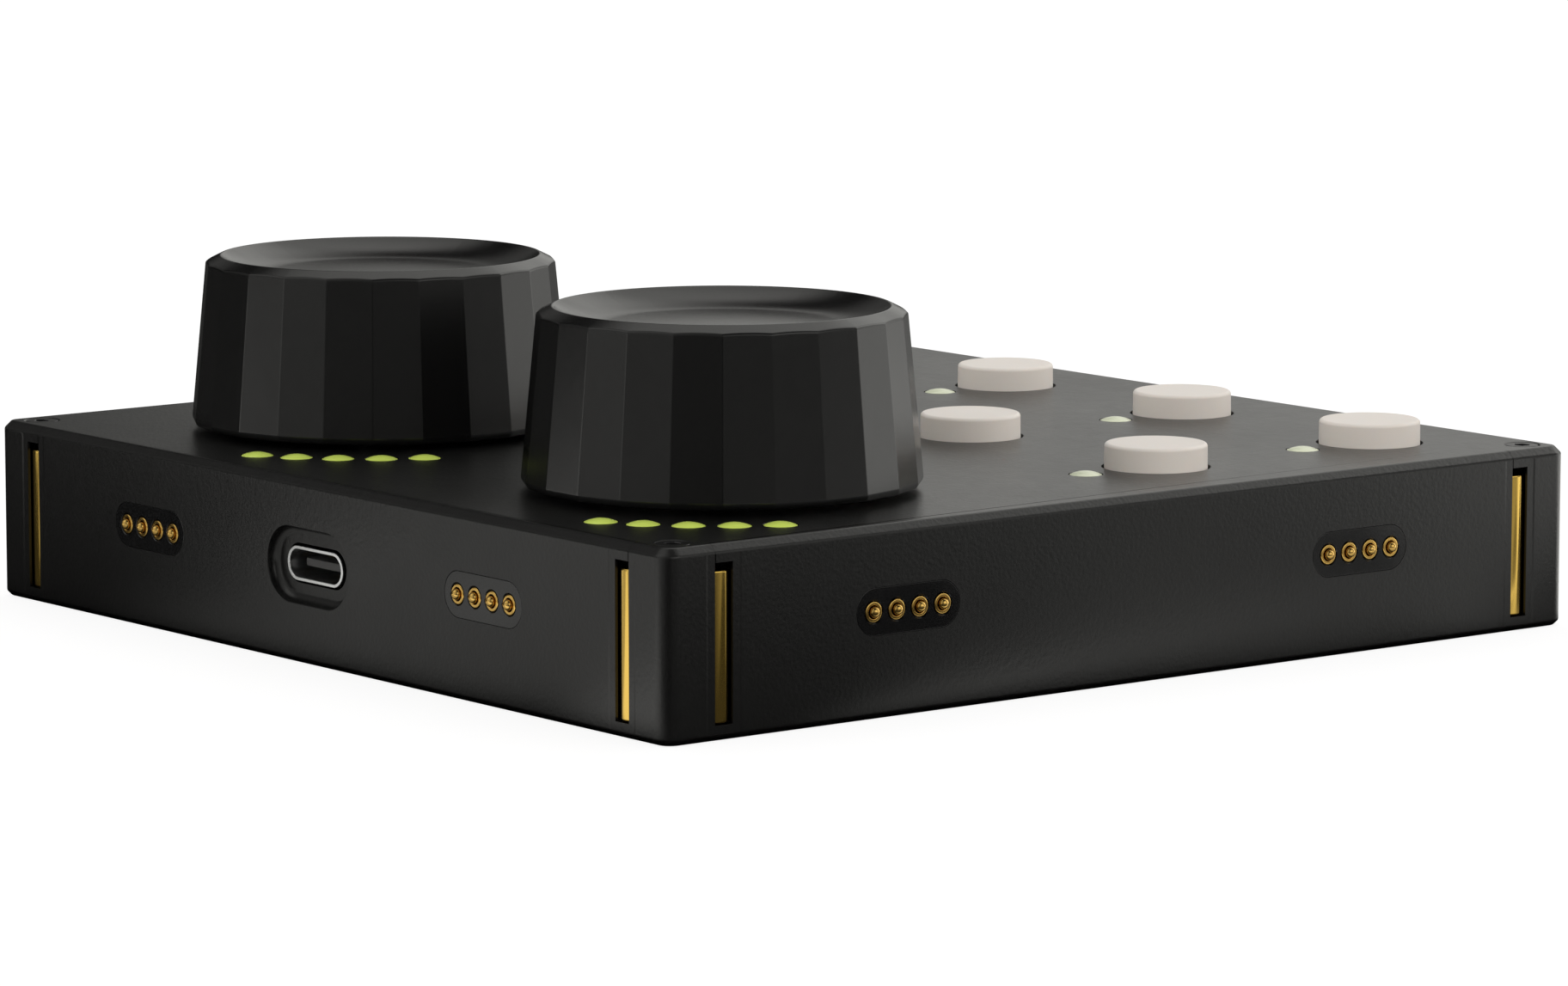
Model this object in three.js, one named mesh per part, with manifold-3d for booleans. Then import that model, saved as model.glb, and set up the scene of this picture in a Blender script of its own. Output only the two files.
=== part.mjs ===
// Square desktop controller with two jog wheels, eight push buttons and snap-together sides.
// Millimetres, +Z up. The origin is the middle of the underside. The user sits on the -Y side,
// and the USB socket is on the +Y side.
import * as THREE from 'three';
import { mergeVertices } from 'three/addons/utils/BufferGeometryUtils.js';
import Module from 'manifold-3d';

const wasm = await Module();
wasm.setup();

// Housing
const bodySide = 107.3;
const bodyHeight = 17.2;
const cornerRadius = 1.25;
const topChamfer = 0.7;
const bottomChamfer = 0.5;
const wallThickness = 2.6;
const topThickness = 2;
const coverThickness = 1.4;
const coverRim = 1;
const coverClearance = 0.15;
const seatGap = 0.1;
const gridMargin = 13.3;

// Circuit board and what holds it
const boardThickness = 1.6;
const boardToCeiling = 8.6;
const boardClearance = 0.4;
const boardPostRadius = 2.4;
const boardPegRadius = 0.9;
const boardPegClearance = 0.2;
const chipWidth = 18;
const chipDepth = 20;
const chipHeight = 3.1;
const chipCentreY = 8;

// Jog wheels and encoders
const wheelSides = 24;
const wheelBaseRadius = 18.3;
const wheelTopRadius = 16.75;
const wheelHeight = 16.25;
const wheelLift = 0.5;
const wheelRimRadius = 15.35;
const wheelRimDrop = 0.7;
const wheelFootRadius = 17.4;
const wheelFootHeight = 1.2;
const dishFlatRadius = 10.4;
const dishDepth = 1.65;
const wheelWall = 2.4;
const wheelWeb = 3;
const wheelHubRadius = 5.5;
const shaftRadius = 3;
const shaftFlatDepth = 1.4;
const shaftReach = 9.5;
const shaftSeat = 5;
const shaftFit = 0.06;
const encoderSide = 13.4;
const encoderHeight = 6.4;
const bushingRadius = 3.6;
const bushingLength = 4;
const bushingClearance = 0.3;
const shaftBearingClearance = 0.15;

// Push buttons
const buttonRadius = 4.8;
const buttonProud = 2.25;
const buttonEdge = 0.35;
const buttonClearance = 0.24;
const buttonFlangeWidth = 0.8;
const buttonFlangeThickness = 0.9;
const buttonFlangeGap = 0.15;
const buttonTravel = 1.2;
const buttonStemRadius = 1.8;
const switchSide = 8.4;
const switchHeight = 5.4;
const switchWellRadius = 2.1;
const stemEntry = 0.9;
const stemClearance = 2.1;

// Lenses and their light guides
const lensRadius = 1.5;
const lensProud = 0.36;
const lensClearance = 0.12;
const lensToButton = 2.24;
const lensToWheel = 3.4;
const lensesInArc = 5;
const lensStepAngle = 10;
const lensArcCentreAngle = 135;
const guideBarThickness = 1.5;
const guideBarHalfWidth = 1.2;
const guideGap = 0.2;
const guideClearance = 0.3;

// Corner screws
const screwInset = 3.1;
const screwHeadRadius = 1.55;
const screwHeadHeight = 0.95;
const screwShankRadius = 0.8;
const screwClearance = 0.15;
const screwTipGap = 0.3;
const screwRecessRadius = 0.75;
const screwRecessDepth = 0.7;
const screwRecessSides = 6;
const screwBossWall = 1.6;

// Side magnets and their slots
const magnetRadius = 1.5;
const magnetHeadroom = 0.75;
const magnetEdge = 0.2;
const magnetFromCorner = 6.3;
const magnetSkin = 0.2;
const magnetClearance = 0.2;
const magnetPocketWall = 1.1;
const slotWidth = 1.95;
const slotTopMargin = 1.6;

// Side connector blocks and their spring pins
const insertLength = 11.6;
const insertHeight = 4.15;
const insertClearance = 0.12;
const blockLength = 13.6;
const blockHeight = 5.8;
const blockDepth = 4;
const blockGap = 0.15;
const blockCavityLength = 11.2;
const blockCavityHeight = 3.2;
const blockCavityDepth = 3;
const pinCount = 4;
const pinPitch = 2.6;
const pinRadius = 0.5;
const pinProud = 0.6;
const pinClearance = 0.15;
const pinMouthRadius = 0.92;
const pinMouthDepth = 0.35;
const pinMouthClearance = 0.1;
const pinBridgeHeight = 2;
const pinBridgeThickness = 0.8;
const pinBridgeGap = 0.2;

// USB socket
const usbAboveBoard = 2.4;
const usbOffMiddle = 0.65;
const usbRecessLength = 13;
const usbRecessHeight = 7;
const usbRecessDepth = 1.15;
const usbSetBack = 0.9;
const usbWidth = 8.94;
const usbHeight = 3.26;
const usbWall = 0.35;
const usbLength = 7.35;
const usbPanelGap = 0.25;
const usbLegWidth = 0.5;
const usbLegLength = 1.1;
const usbLegInset = 1.3;
const tongueWidth = 6.69;
const tongueThickness = 0.7;
const tongueLength = 4.4;
const tongueBaseLength = 1.8;
const tongueFit = 0.1;

// How finely round shapes are faceted, and how far a cut runs past the face that it opens
const wheelSegments = 48;
const buttonSegments = 20;
const roundSegments = 16;
const lensSegments = 12;
const pinSegments = 8;
const cornerSteps = 3;
const arcSteps = 3;
const edgeSteps = 2;
const overrun = 1;

// Levels and places that follow from the sizes above
const half = bodySide / 2;
const ceilingZ = bodyHeight - topThickness;
const innerHalf = half - wallThickness;
const columnShares = [-1.5, -0.5, 0.5, 1.5];
const rowShares = [-0.5, -1.5];
const gridPitch = (half - gridMargin) / Math.max(...columnShares);
const boardTop = ceilingZ - boardToCeiling;
const boardUnderside = boardTop - boardThickness;
const boardSeat = boardTop + seatGap;
const insertCentreZ = boardSeat + blockHeight / 2;
const usbCentreZ = boardSeat + usbAboveBoard;
const usbCentreX = -usbOffMiddle;
const slotTopZ = bodyHeight - slotTopMargin;
const magnetBottomZ = coverThickness + seatGap;
const magnetTopZ = slotTopZ - magnetHeadroom;
const magnetInset = magnetSkin + magnetRadius;
const pocketRadius = magnetRadius + magnetClearance;
const lobeLength = magnetFromCorner + pocketRadius + magnetPocketWall;
const lobeDepth = magnetInset + pocketRadius + magnetPocketWall;
const screwBlock = screwInset + screwShankRadius + screwClearance + screwBossWall;
const lensOffset = buttonRadius + lensToButton + lensRadius;
const lensRingRadius = wheelBaseRadius + lensToWheel + lensRadius;
const wheelBaseZ = bodyHeight + wheelLift;
const wheelTopZ = wheelBaseZ + wheelHeight;
const encoderTopZ = boardSeat + encoderHeight;
const switchTopZ = boardSeat + switchHeight;
const stemBottomZ = switchTopZ - stemEntry;
const buttonTopZ = bodyHeight + buttonProud;
const flangeTopZ = ceilingZ - buttonFlangeGap;
const flangeBottomZ = flangeTopZ - buttonFlangeThickness;
const guideTopZ = ceilingZ - guideGap;
const guideBottomZ = guideTopZ - guideBarThickness;

const wheelPlaces = [['left', -gridPitch, gridPitch], ['right', gridPitch, gridPitch]];
const buttonPlaces = rowShares.flatMap((row) => columnShares.map((column) => [column * gridPitch, row * gridPitch]));
const cornerSigns = [[-1, 1], [1, 1], [1, -1], [-1, -1]];
const boardPostShares = [[-0.28, -0.25], [0.28, -0.25], [-0.28, 0], [0.28, 0], [0, -0.38], [0, 0.38]];

// The four sides, each turned from the -Y side about Z. Left and right are as seen from outside.
const sides = [['front', 0], ['right', Math.PI / 2], ['rear', Math.PI], ['left', -Math.PI / 2]];
const sideHands = [['a', -1], ['b', 1]];

// Solids and meshes

// A closed geometry with shared vertices, no empty triangles and its faces pointing out.
function welded(geometry) {
  const bare = geometry.clone();
  for (const name of Object.keys(bare.attributes)) {
    if (name !== 'position') bare.deleteAttribute(name);
  }
  const merged = mergeVertices(bare, 1e-4);
  const index = merged.index.array;
  const at = merged.attributes.position;
  const kept = [];
  const [a, b, c] = [new THREE.Vector3(), new THREE.Vector3(), new THREE.Vector3()];
  let volume = 0;
  for (let i = 0; i < index.length; i += 3) {
    const [p, q, r] = [index[i], index[i + 1], index[i + 2]];
    if (p === q || q === r || r === p) continue;
    kept.push(p, q, r);
    a.fromBufferAttribute(at, p);
    b.fromBufferAttribute(at, q);
    c.fromBufferAttribute(at, r);
    volume += a.dot(b.cross(c));
  }
  if (volume < 0) kept.reverse();
  merged.setIndex(kept);
  return merged;
}

function solid(geometry) {
  const merged = welded(geometry);
  return new wasm.Manifold(new wasm.Mesh({
    numProp: 3,
    vertProperties: merged.attributes.position.array,
    triVerts: new Uint32Array(merged.index.array),
  }));
}

function geometryOf(shape) {
  const mesh = shape.getMesh();
  const geometry = new THREE.BufferGeometry();
  geometry.setAttribute('position', new THREE.BufferAttribute(new Float32Array(mesh.vertProperties), mesh.numProp));
  geometry.setIndex(new THREE.BufferAttribute(new Uint32Array(mesh.triVerts), 1));
  const faceted = geometry.toNonIndexed();
  faceted.computeVertexNormals();
  return faceted;
}

function unite(shapes) {
  return shapes.reduce((all, next) => all.add(next));
}

// A box between two corners.
function block(x0, x1, y0, y1, z0, z1) {
  const geometry = new THREE.BoxGeometry(x1 - x0, y1 - y0, z1 - z0);
  return geometry.translate((x0 + x1) / 2, (y0 + y1) / 2, (z0 + z1) / 2);
}

// A flat outline raised from z0 to z1.
function raised(shape, z0, z1, curveSegments = cornerSteps) {
  const geometry = new THREE.ExtrudeGeometry(shape, { depth: z1 - z0, bevelEnabled: false, curveSegments });
  return geometry.translate(0, 0, z0);
}

// A profile of [radius, z] points turned about the Z axis.
function turned(profile, segments) {
  const points = profile.map(([radius, z]) => new THREE.Vector2(radius, z));
  return new THREE.LatheGeometry(points, segments).rotateX(Math.PI / 2);
}

function disc(radius, z0, z1, segments, x = 0, y = 0) {
  const geometry = turned([[0, z0], [radius, z0], [radius, z1], [0, z1]], segments);
  return geometry.translate(x, y, 0);
}

// A flat shape whose sides are straight and whose ends are round: length along x, height along y.
function stadium(length, height, radius = height / 2) {
  const [x, y] = [length / 2 - radius, height / 2 - radius];
  const shape = new THREE.Shape();
  shape.absarc(x, y, radius, 0, Math.PI / 2);
  shape.absarc(-x, y, radius, Math.PI / 2, Math.PI);
  shape.absarc(-x, -y, radius, Math.PI, 1.5 * Math.PI);
  shape.absarc(x, -y, radius, 1.5 * Math.PI, 2 * Math.PI);
  return shape;
}

// A stadium pushed through the -Y wall, between two depths measured inward from the outer face.
function throughFront(length, height, x, z, depth0, depth1, radius = height / 2) {
  const geometry = raised(stadium(length, height, radius), -depth1, -depth0);
  return geometry.rotateX(Math.PI / 2).translate(x, -half, z);
}

function roundedSquare(side, radius) {
  return stadium(side, side, radius);
}

// Rings of equal point counts joined into one closed skin, with flat ends.
function lofted(rings) {
  const count = rings[0].length;
  const positions = rings.flat().flatMap(([x, y, z]) => [x, y, z]);
  const index = [];
  for (let k = 0; k < rings.length - 1; k += 1) {
    for (let i = 0; i < count; i += 1) {
      const j = (i + 1) % count;
      const [a, b, c, d] = [k * count + i, k * count + j, (k + 1) * count + j, (k + 1) * count + i];
      index.push(a, b, c, a, c, d);
    }
  }
  const last = (rings.length - 1) * count;
  for (let i = 1; i < count - 1; i += 1) {
    index.push(0, i + 1, i, last, last + i, last + i + 1);
  }
  const geometry = new THREE.BufferGeometry();
  geometry.setAttribute('position', new THREE.Float32BufferAttribute(positions, 3));
  geometry.setIndex(index);
  return geometry;
}

// The housing's outer skin: upright rounded corners, a bevel round the top and one round the bottom.
function bodySkin() {
  const leastRadiusShare = 0.2;
  const ring = (inset, z) => {
    const radius = Math.max(cornerRadius - inset, cornerRadius * leastRadiusShare);
    const points = roundedSquare(bodySide - 2 * inset, radius).extractPoints(cornerSteps).shape;
    return points.slice(0, points.length - 1).map((point) => [point.x, point.y, z]);
  };
  return lofted([
    ring(bottomChamfer, 0),
    ring(0, bottomChamfer),
    ring(0, bodyHeight - topChamfer),
    ring(topChamfer, bodyHeight),
  ]);
}

// What stands in each inner corner: a lobe round each magnet's pocket and a post round the screw.
function cornerBlocks(margin, z0, z1) {
  const inner = (reach) => half - reach - margin;
  const outer = half + overrun;
  return unite(cornerSigns.map(([sx, sy]) => {
    const corner = unite([
      solid(block(inner(lobeLength), outer, inner(lobeDepth), outer, z0, z1)),
      solid(block(inner(lobeDepth), outer, inner(lobeLength), outer, z0, z1)),
      solid(block(inner(screwBlock), outer, inner(screwBlock), outer, z0, z1)),
    ]);
    return solid(geometryOf(corner).rotateZ(Math.atan2(sy, sx) - Math.PI / 4));
  }));
}

function turnedAbout(shape, angle) {
  return solid(geometryOf(shape).rotateZ(angle));
}

// Lens places along each wheel's arc, as [x, y] from the wheel's axis.
function arcPlaces() {
  return Array.from({ length: lensesInArc }, (_, i) => {
    const degrees = lensArcCentreAngle + (i - (lensesInArc - 1) / 2) * lensStepAngle;
    const angle = THREE.MathUtils.degToRad(degrees);
    return [lensRingRadius * Math.cos(angle), lensRingRadius * Math.sin(angle)];
  });
}

function pinPlaces() {
  return Array.from({ length: pinCount }, (_, i) => (i - (pinCount - 1) / 2) * pinPitch);
}

// Housing

// The magnet's slot and pocket in the -Y wall, at one hand of the side.
function magnetCut(hand) {
  const x = hand * (half - magnetFromCorner);
  const y = magnetInset - half;
  return unite([
    solid(block(x - slotWidth / 2, x + slotWidth / 2, -half - overrun, y, coverThickness, slotTopZ)),
    solid(disc(pocketRadius, coverThickness, slotTopZ, roundSegments, x, y)),
  ]);
}

function sideCuts() {
  return unite(sideHands.flatMap(([, hand]) => [
    magnetCut(hand),
    solid(throughFront(insertLength + 2 * insertClearance, insertHeight + 2 * insertClearance,
      hand * gridPitch, insertCentreZ, -overrun, wallThickness + overrun)),
  ]));
}

function usbCuts() {
  const [width, height] = [usbWidth + 2 * usbPanelGap, usbHeight + 2 * usbPanelGap];
  return unite([
    solid(throughFront(usbRecessLength, usbRecessHeight, usbCentreX, usbCentreZ, -overrun, usbRecessDepth)),
    solid(throughFront(width, height, usbCentreX, usbCentreZ, 0, wallThickness + overrun)),
  ]);
}

function screwCut(x, y) {
  const [head, shank] = [screwHeadRadius + screwClearance, screwShankRadius + screwClearance];
  const profile = [
    [0, -overrun], [shank, -overrun], [shank, bodyHeight - screwHeadHeight],
    [head, bodyHeight], [head, bodyHeight + overrun], [0, bodyHeight + overrun],
  ];
  return solid(turned(profile, roundSegments).translate(x, y, 0));
}

function topCuts() {
  const [z0, z1] = [ceilingZ - overrun, bodyHeight + overrun];
  const lens = (x, y) => solid(disc(lensRadius + lensClearance, z0, z1, lensSegments, x, y));
  return unite([
    ...buttonPlaces.map(([x, y]) => solid(disc(buttonRadius + buttonClearance, z0, z1, buttonSegments, x, y))),
    ...buttonPlaces.map(([x, y]) => lens(x, y + lensOffset)),
    ...wheelPlaces.flatMap(([, x, y]) => arcPlaces().map(([dx, dy]) => lens(x + dx, y + dy))),
    ...wheelPlaces.map(([, x, y]) => solid(disc(bushingRadius + bushingClearance, z0, z1, roundSegments, x, y))),
    ...cornerSigns.map(([sx, sy]) => screwCut(sx * (half - screwInset), sy * (half - screwInset))),
  ]);
}

function topShell() {
  const cavity = solid(block(-innerHalf, innerHalf, -innerHalf, innerHalf, -overrun, ceilingZ))
    .subtract(cornerBlocks(0, -2 * overrun, bodyHeight));
  const seatHalf = half - coverRim;
  const coverSeat = block(-seatHalf, seatHalf, -seatHalf, seatHalf, -overrun, coverThickness + seatGap);
  let shell = solid(bodySkin()).subtract(cavity).subtract(solid(coverSeat));
  for (const [, angle] of sides) shell = shell.subtract(turnedAbout(sideCuts(), angle));
  shell = shell.subtract(turnedAbout(usbCuts(), Math.PI));
  return geometryOf(shell.subtract(topCuts()));
}

function bottomCover() {
  const coverHalf = half - coverRim - coverClearance;
  const posts = boardPostShares.map(([x, y]) => solid(turned([
    [0, 0],
    [boardPostRadius, 0],
    [boardPostRadius, boardUnderside - seatGap],
    [boardPegRadius, boardUnderside - seatGap],
    [boardPegRadius, boardTop],
    [0, boardTop],
  ], lensSegments).translate(x * bodySide, y * bodySide, 0)));
  const holes = cornerSigns.map(([sx, sy]) => solid(disc(screwShankRadius + screwClearance, -overrun,
    coverThickness + overrun, roundSegments, sx * (half - screwInset), sy * (half - screwInset))));
  const plate = solid(block(-coverHalf, coverHalf, -coverHalf, coverHalf, 0, coverThickness));
  return geometryOf(unite([plate, ...posts]).subtract(unite(holes)));
}

function coverScrew() {
  const neckZ = bodyHeight - screwHeadHeight;
  const blank = solid(turned([
    [0, screwTipGap],
    [screwShankRadius, screwTipGap],
    [screwShankRadius, neckZ],
    [screwHeadRadius, bodyHeight],
    [0, bodyHeight],
  ], roundSegments));
  const recess = solid(disc(screwRecessRadius, bodyHeight - screwRecessDepth, bodyHeight + overrun,
    screwRecessSides));
  return geometryOf(blank.subtract(recess));
}

// Board and what is soldered to it

function mainBoard() {
  const boardHalf = innerHalf - boardClearance;
  const plate = solid(block(-boardHalf, boardHalf, -boardHalf, boardHalf, boardUnderside, boardTop));
  const holes = boardPostShares.map(([x, y]) => solid(disc(boardPegRadius + boardPegClearance,
    boardUnderside - overrun, boardTop + overrun, pinSegments, x * bodySide, y * bodySide)));
  return geometryOf(plate
    .subtract(cornerBlocks(boardClearance, boardUnderside - overrun, boardTop + overrun))
    .subtract(unite(holes)));
}

function controllerChip() {
  return block(-chipWidth / 2, chipWidth / 2, chipCentreY - chipDepth / 2, chipCentreY + chipDepth / 2,
    boardSeat, boardSeat + chipHeight);
}

// Jog wheels

function shaftOutline(radius, flatDepth) {
  const flatX = radius - flatDepth;
  const angle = Math.acos(flatX / radius);
  const shape = new THREE.Shape();
  shape.absarc(0, 0, radius, angle, 2 * Math.PI - angle);
  return shape;
}

// The 24 flats: a tapered prism with a corner half a side away from the X axis.
function wheelFlats() {
  const step = 2 * Math.PI / wheelSides;
  const ring = (radius, z) => Array.from({ length: wheelSides }, (_, i) => {
    const angle = (i + 0.5) * step;
    return [radius * Math.cos(angle), radius * Math.sin(angle), z];
  });
  return lofted([ring(wheelBaseRadius, wheelBaseZ), ring(wheelTopRadius, wheelTopZ)]);
}

// The round envelope that softens the flats' ends: a rolled foot and a bevelled rim.
function wheelEnvelope() {
  const reach = wheelBaseRadius + overrun;
  const footReach = wheelBaseRadius - wheelFootRadius;
  const foot = Array.from({ length: edgeSteps + 1 }, (_, i) => {
    const angle = i / edgeSteps * Math.PI / 2;
    return [wheelFootRadius + footReach * Math.sin(angle),
      wheelBaseZ + wheelFootHeight * (1 - Math.cos(angle))];
  });
  const slope = wheelRimDrop / (wheelTopRadius - wheelRimRadius);
  return turned([
    [0, wheelBaseZ],
    ...foot,
    [reach, wheelBaseZ + wheelFootHeight],
    [reach, wheelTopZ - slope * (reach - wheelRimRadius)],
    [wheelRimRadius, wheelTopZ],
    [0, wheelTopZ],
  ], wheelSegments);
}

// The dish: a curved fall from the rim that flattens out at a round floor.
function wheelDish() {
  const fall = Array.from({ length: arcSteps + 1 }, (_, i) => {
    const share = i / arcSteps;
    const radius = wheelRimRadius + (dishFlatRadius - wheelRimRadius) * share;
    return [radius, wheelTopZ - dishDepth * (1 - (1 - share) ** 2)];
  });
  return turned([
    [0, wheelTopZ - dishDepth],
    ...fall.reverse(),
    [wheelRimRadius, wheelTopZ + overrun],
    [0, wheelTopZ + overrun],
  ], wheelSegments);
}

function jogWheel() {
  const webZ = wheelTopZ - dishDepth - wheelWeb;
  const hollow = solid(turned([
    [wheelHubRadius, wheelBaseZ - overrun],
    [wheelTopRadius - wheelWall, wheelBaseZ - overrun],
    [wheelTopRadius - wheelWall, webZ],
    [wheelHubRadius, webZ],
    [wheelHubRadius, wheelBaseZ - overrun],
  ], wheelSides));
  const bore = solid(raised(shaftOutline(shaftRadius + shaftFit, shaftFlatDepth),
    wheelBaseZ - overrun, wheelBaseZ + shaftReach + seatGap, 2 * arcSteps));
  return geometryOf(solid(wheelFlats())
    .intersect(solid(wheelEnvelope()))
    .subtract(solid(wheelDish()))
    .subtract(hollow)
    .subtract(bore));
}

function encoderShaft() {
  return raised(shaftOutline(shaftRadius, shaftFlatDepth), encoderTopZ - shaftSeat,
    wheelBaseZ + shaftReach, 2 * arcSteps);
}

function encoderBody() {
  const reach = encoderSide / 2;
  const bore = disc(shaftRadius + shaftBearingClearance, encoderTopZ - shaftSeat - seatGap,
    encoderTopZ + bushingLength + overrun, roundSegments);
  return geometryOf(solid(block(-reach, reach, -reach, reach, boardSeat, encoderTopZ))
    .add(solid(disc(bushingRadius, boardSeat, encoderTopZ + bushingLength, roundSegments)))
    .subtract(solid(bore)));
}

// Push buttons

function buttonCap() {
  const edge = Array.from({ length: edgeSteps + 1 }, (_, i) => {
    const angle = i / edgeSteps * Math.PI / 2;
    return [buttonRadius - buttonEdge * (1 - Math.cos(angle)), buttonTopZ - buttonEdge * (1 - Math.sin(angle))];
  });
  return turned([
    [0, stemBottomZ],
    [buttonStemRadius, stemBottomZ],
    [buttonStemRadius, flangeBottomZ],
    [buttonRadius + buttonFlangeWidth, flangeBottomZ],
    [buttonRadius + buttonFlangeWidth, flangeTopZ],
    [buttonRadius, flangeTopZ],
    ...edge,
    [0, buttonTopZ],
  ], buttonSegments);
}

function buttonSwitch() {
  const reach = switchSide / 2;
  const wellFloorZ = stemBottomZ - buttonTravel - stemClearance;
  const well = disc(switchWellRadius, wellFloorZ, switchTopZ + overrun, roundSegments);
  return geometryOf(solid(block(-reach, reach, -reach, reach, boardSeat, switchTopZ)).subtract(solid(well)));
}

// Light guides

function lens(x, y) {
  const reachShares = [1, 0.6];
  const dome = reachShares.map((share) => [lensRadius * share, bodyHeight + lensProud * (1 - share ** 2)]);
  const profile = [[0, guideBottomZ], [lensRadius, guideBottomZ], ...dome, [0, bodyHeight + lensProud]];
  return solid(turned(profile, lensSegments).translate(x, y, 0));
}

function arcGuide(axisX, axisY) {
  const places = arcPlaces();
  const spread = THREE.MathUtils.degToRad(lensStepAngle * (lensesInArc - 1) / 2);
  const centre = THREE.MathUtils.degToRad(lensArcCentreAngle);
  const bar = new THREE.Shape();
  bar.absarc(0, 0, lensRingRadius + guideBarHalfWidth, centre - spread, centre + spread);
  bar.absarc(0, 0, lensRingRadius - guideBarHalfWidth, centre + spread, centre - spread, true);
  const guide = unite([
    solid(raised(bar, guideBottomZ, guideTopZ, 2 * arcSteps)),
    ...places.map(([x, y]) => lens(x, y)),
  ]);
  const room = innerHalf - guideClearance;
  const hollow = block(-room - axisX, room - axisX, -room - axisY, room - axisY,
    guideBottomZ - overrun, bodyHeight + lensProud + overrun);
  return geometryOf(guide.intersect(solid(hollow)));
}

function rowGuide() {
  const reach = Math.max(...columnShares) * gridPitch;
  return geometryOf(unite([
    solid(block(-reach, reach, -guideBarHalfWidth, guideBarHalfWidth, guideBottomZ, guideTopZ)),
    ...columnShares.map((share) => lens(share * gridPitch, 0)),
  ]));
}

// Side magnets and connectors

function rodMagnet() {
  return turned([
    [0, magnetBottomZ],
    [magnetRadius - magnetEdge, magnetBottomZ],
    [magnetRadius, magnetBottomZ + magnetEdge],
    [magnetRadius, magnetTopZ - magnetEdge],
    [magnetRadius - magnetEdge, magnetTopZ],
    [0, magnetTopZ],
  ], lensSegments);
}

// The moulded block: its stadium nose fills the wall's opening, and its box is open at the back.
function connectorBlock() {
  const boxFront = wallThickness + blockGap;
  const boxBack = boxFront + blockDepth;
  const z = insertCentreZ;
  const nose = solid(throughFront(insertLength, insertHeight, 0, z, 0, boxFront + blockDepth / 2));
  const box = solid(block(-blockLength / 2, blockLength / 2, boxFront - half, boxBack - half,
    z - blockHeight / 2, z + blockHeight / 2));
  const cavity = solid(block(-blockCavityLength / 2, blockCavityLength / 2,
    boxBack - blockCavityDepth - half, boxBack + overrun - half,
    z - blockCavityHeight / 2, z + blockCavityHeight / 2));
  const bores = pinPlaces().map((x) => solid(turned([
    [0, -overrun],
    [pinMouthRadius + pinMouthClearance, -overrun],
    [pinMouthRadius + pinMouthClearance, pinMouthDepth],
    [pinRadius + pinClearance, pinMouthDepth],
    [pinRadius + pinClearance, boxBack],
    [0, boxBack],
  ], pinSegments).rotateX(-Math.PI / 2).translate(x, -half, z)));
  return geometryOf(nose.add(box).subtract(cavity).subtract(unite(bores)));
}

// Four spring pins on the bar that their springs push on.
function contactPins() {
  const boxBack = wallThickness + blockGap + blockDepth;
  const barFront = boxBack - blockCavityDepth + pinBridgeGap;
  const z = insertCentreZ;
  const pins = pinPlaces().map((x) => solid(turned([
    [0, -pinProud],
    [pinRadius / 2, -pinProud + pinRadius / 4],
    [pinRadius, pinRadius - pinProud],
    [pinRadius, barFront + pinBridgeThickness / 2],
    [0, barFront + pinBridgeThickness / 2],
  ], pinSegments).rotateX(-Math.PI / 2).translate(x, -half, z)));
  const reach = (pinCount - 1) / 2 * pinPitch + pinRadius;
  const bar = solid(block(-reach, reach, barFront - half, barFront + pinBridgeThickness - half,
    z - pinBridgeHeight / 2, z + pinBridgeHeight / 2));
  return geometryOf(unite([bar, ...pins]));
}

// USB socket, modelled on the -Y side and turned to the rear

function usbShell() {
  const [front, back] = [usbSetBack, usbSetBack + usbLength];
  const bore = [usbWidth - 2 * usbWall, usbHeight - 2 * usbWall];
  const tube = solid(throughFront(usbWidth, usbHeight, usbCentreX, usbCentreZ, front, back))
    .subtract(solid(throughFront(...bore, usbCentreX, usbCentreZ, front - overrun, back + overrun)));
  const legTop = usbCentreZ;
  const legs = [-1, 1].flatMap((hand) => [wallThickness + usbLegInset, back - usbLegInset].map((depth) => {
    const x = usbCentreX + hand * (usbWidth / 2 - usbLegWidth / 2);
    return solid(block(x - usbLegWidth / 2, x + usbLegWidth / 2, depth - usbLegLength / 2 - half,
      depth + usbLegLength / 2 - half, boardSeat, legTop));
  }));
  const hollow = solid(throughFront(...bore, usbCentreX, usbCentreZ, front - overrun, back + overrun));
  return geometryOf(unite([tube, ...legs]).subtract(hollow));
}

function usbTongue() {
  const back = usbSetBack + usbLength;
  const baseFront = back - tongueBaseLength;
  const base = solid(throughFront(usbWidth - 2 * usbWall - 2 * tongueFit, usbHeight - 2 * usbWall - 2 * tongueFit,
    usbCentreX, usbCentreZ, baseFront, back));
  const [x0, x1] = [usbCentreX - tongueWidth / 2, usbCentreX + tongueWidth / 2];
  const tongue = solid(block(x0, x1, baseFront - tongueLength - half, baseFront + tongueBaseLength / 2 - half,
    usbCentreZ - tongueThickness / 2, usbCentreZ + tongueThickness / 2));
  return geometryOf(base.add(tongue));
}

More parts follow.
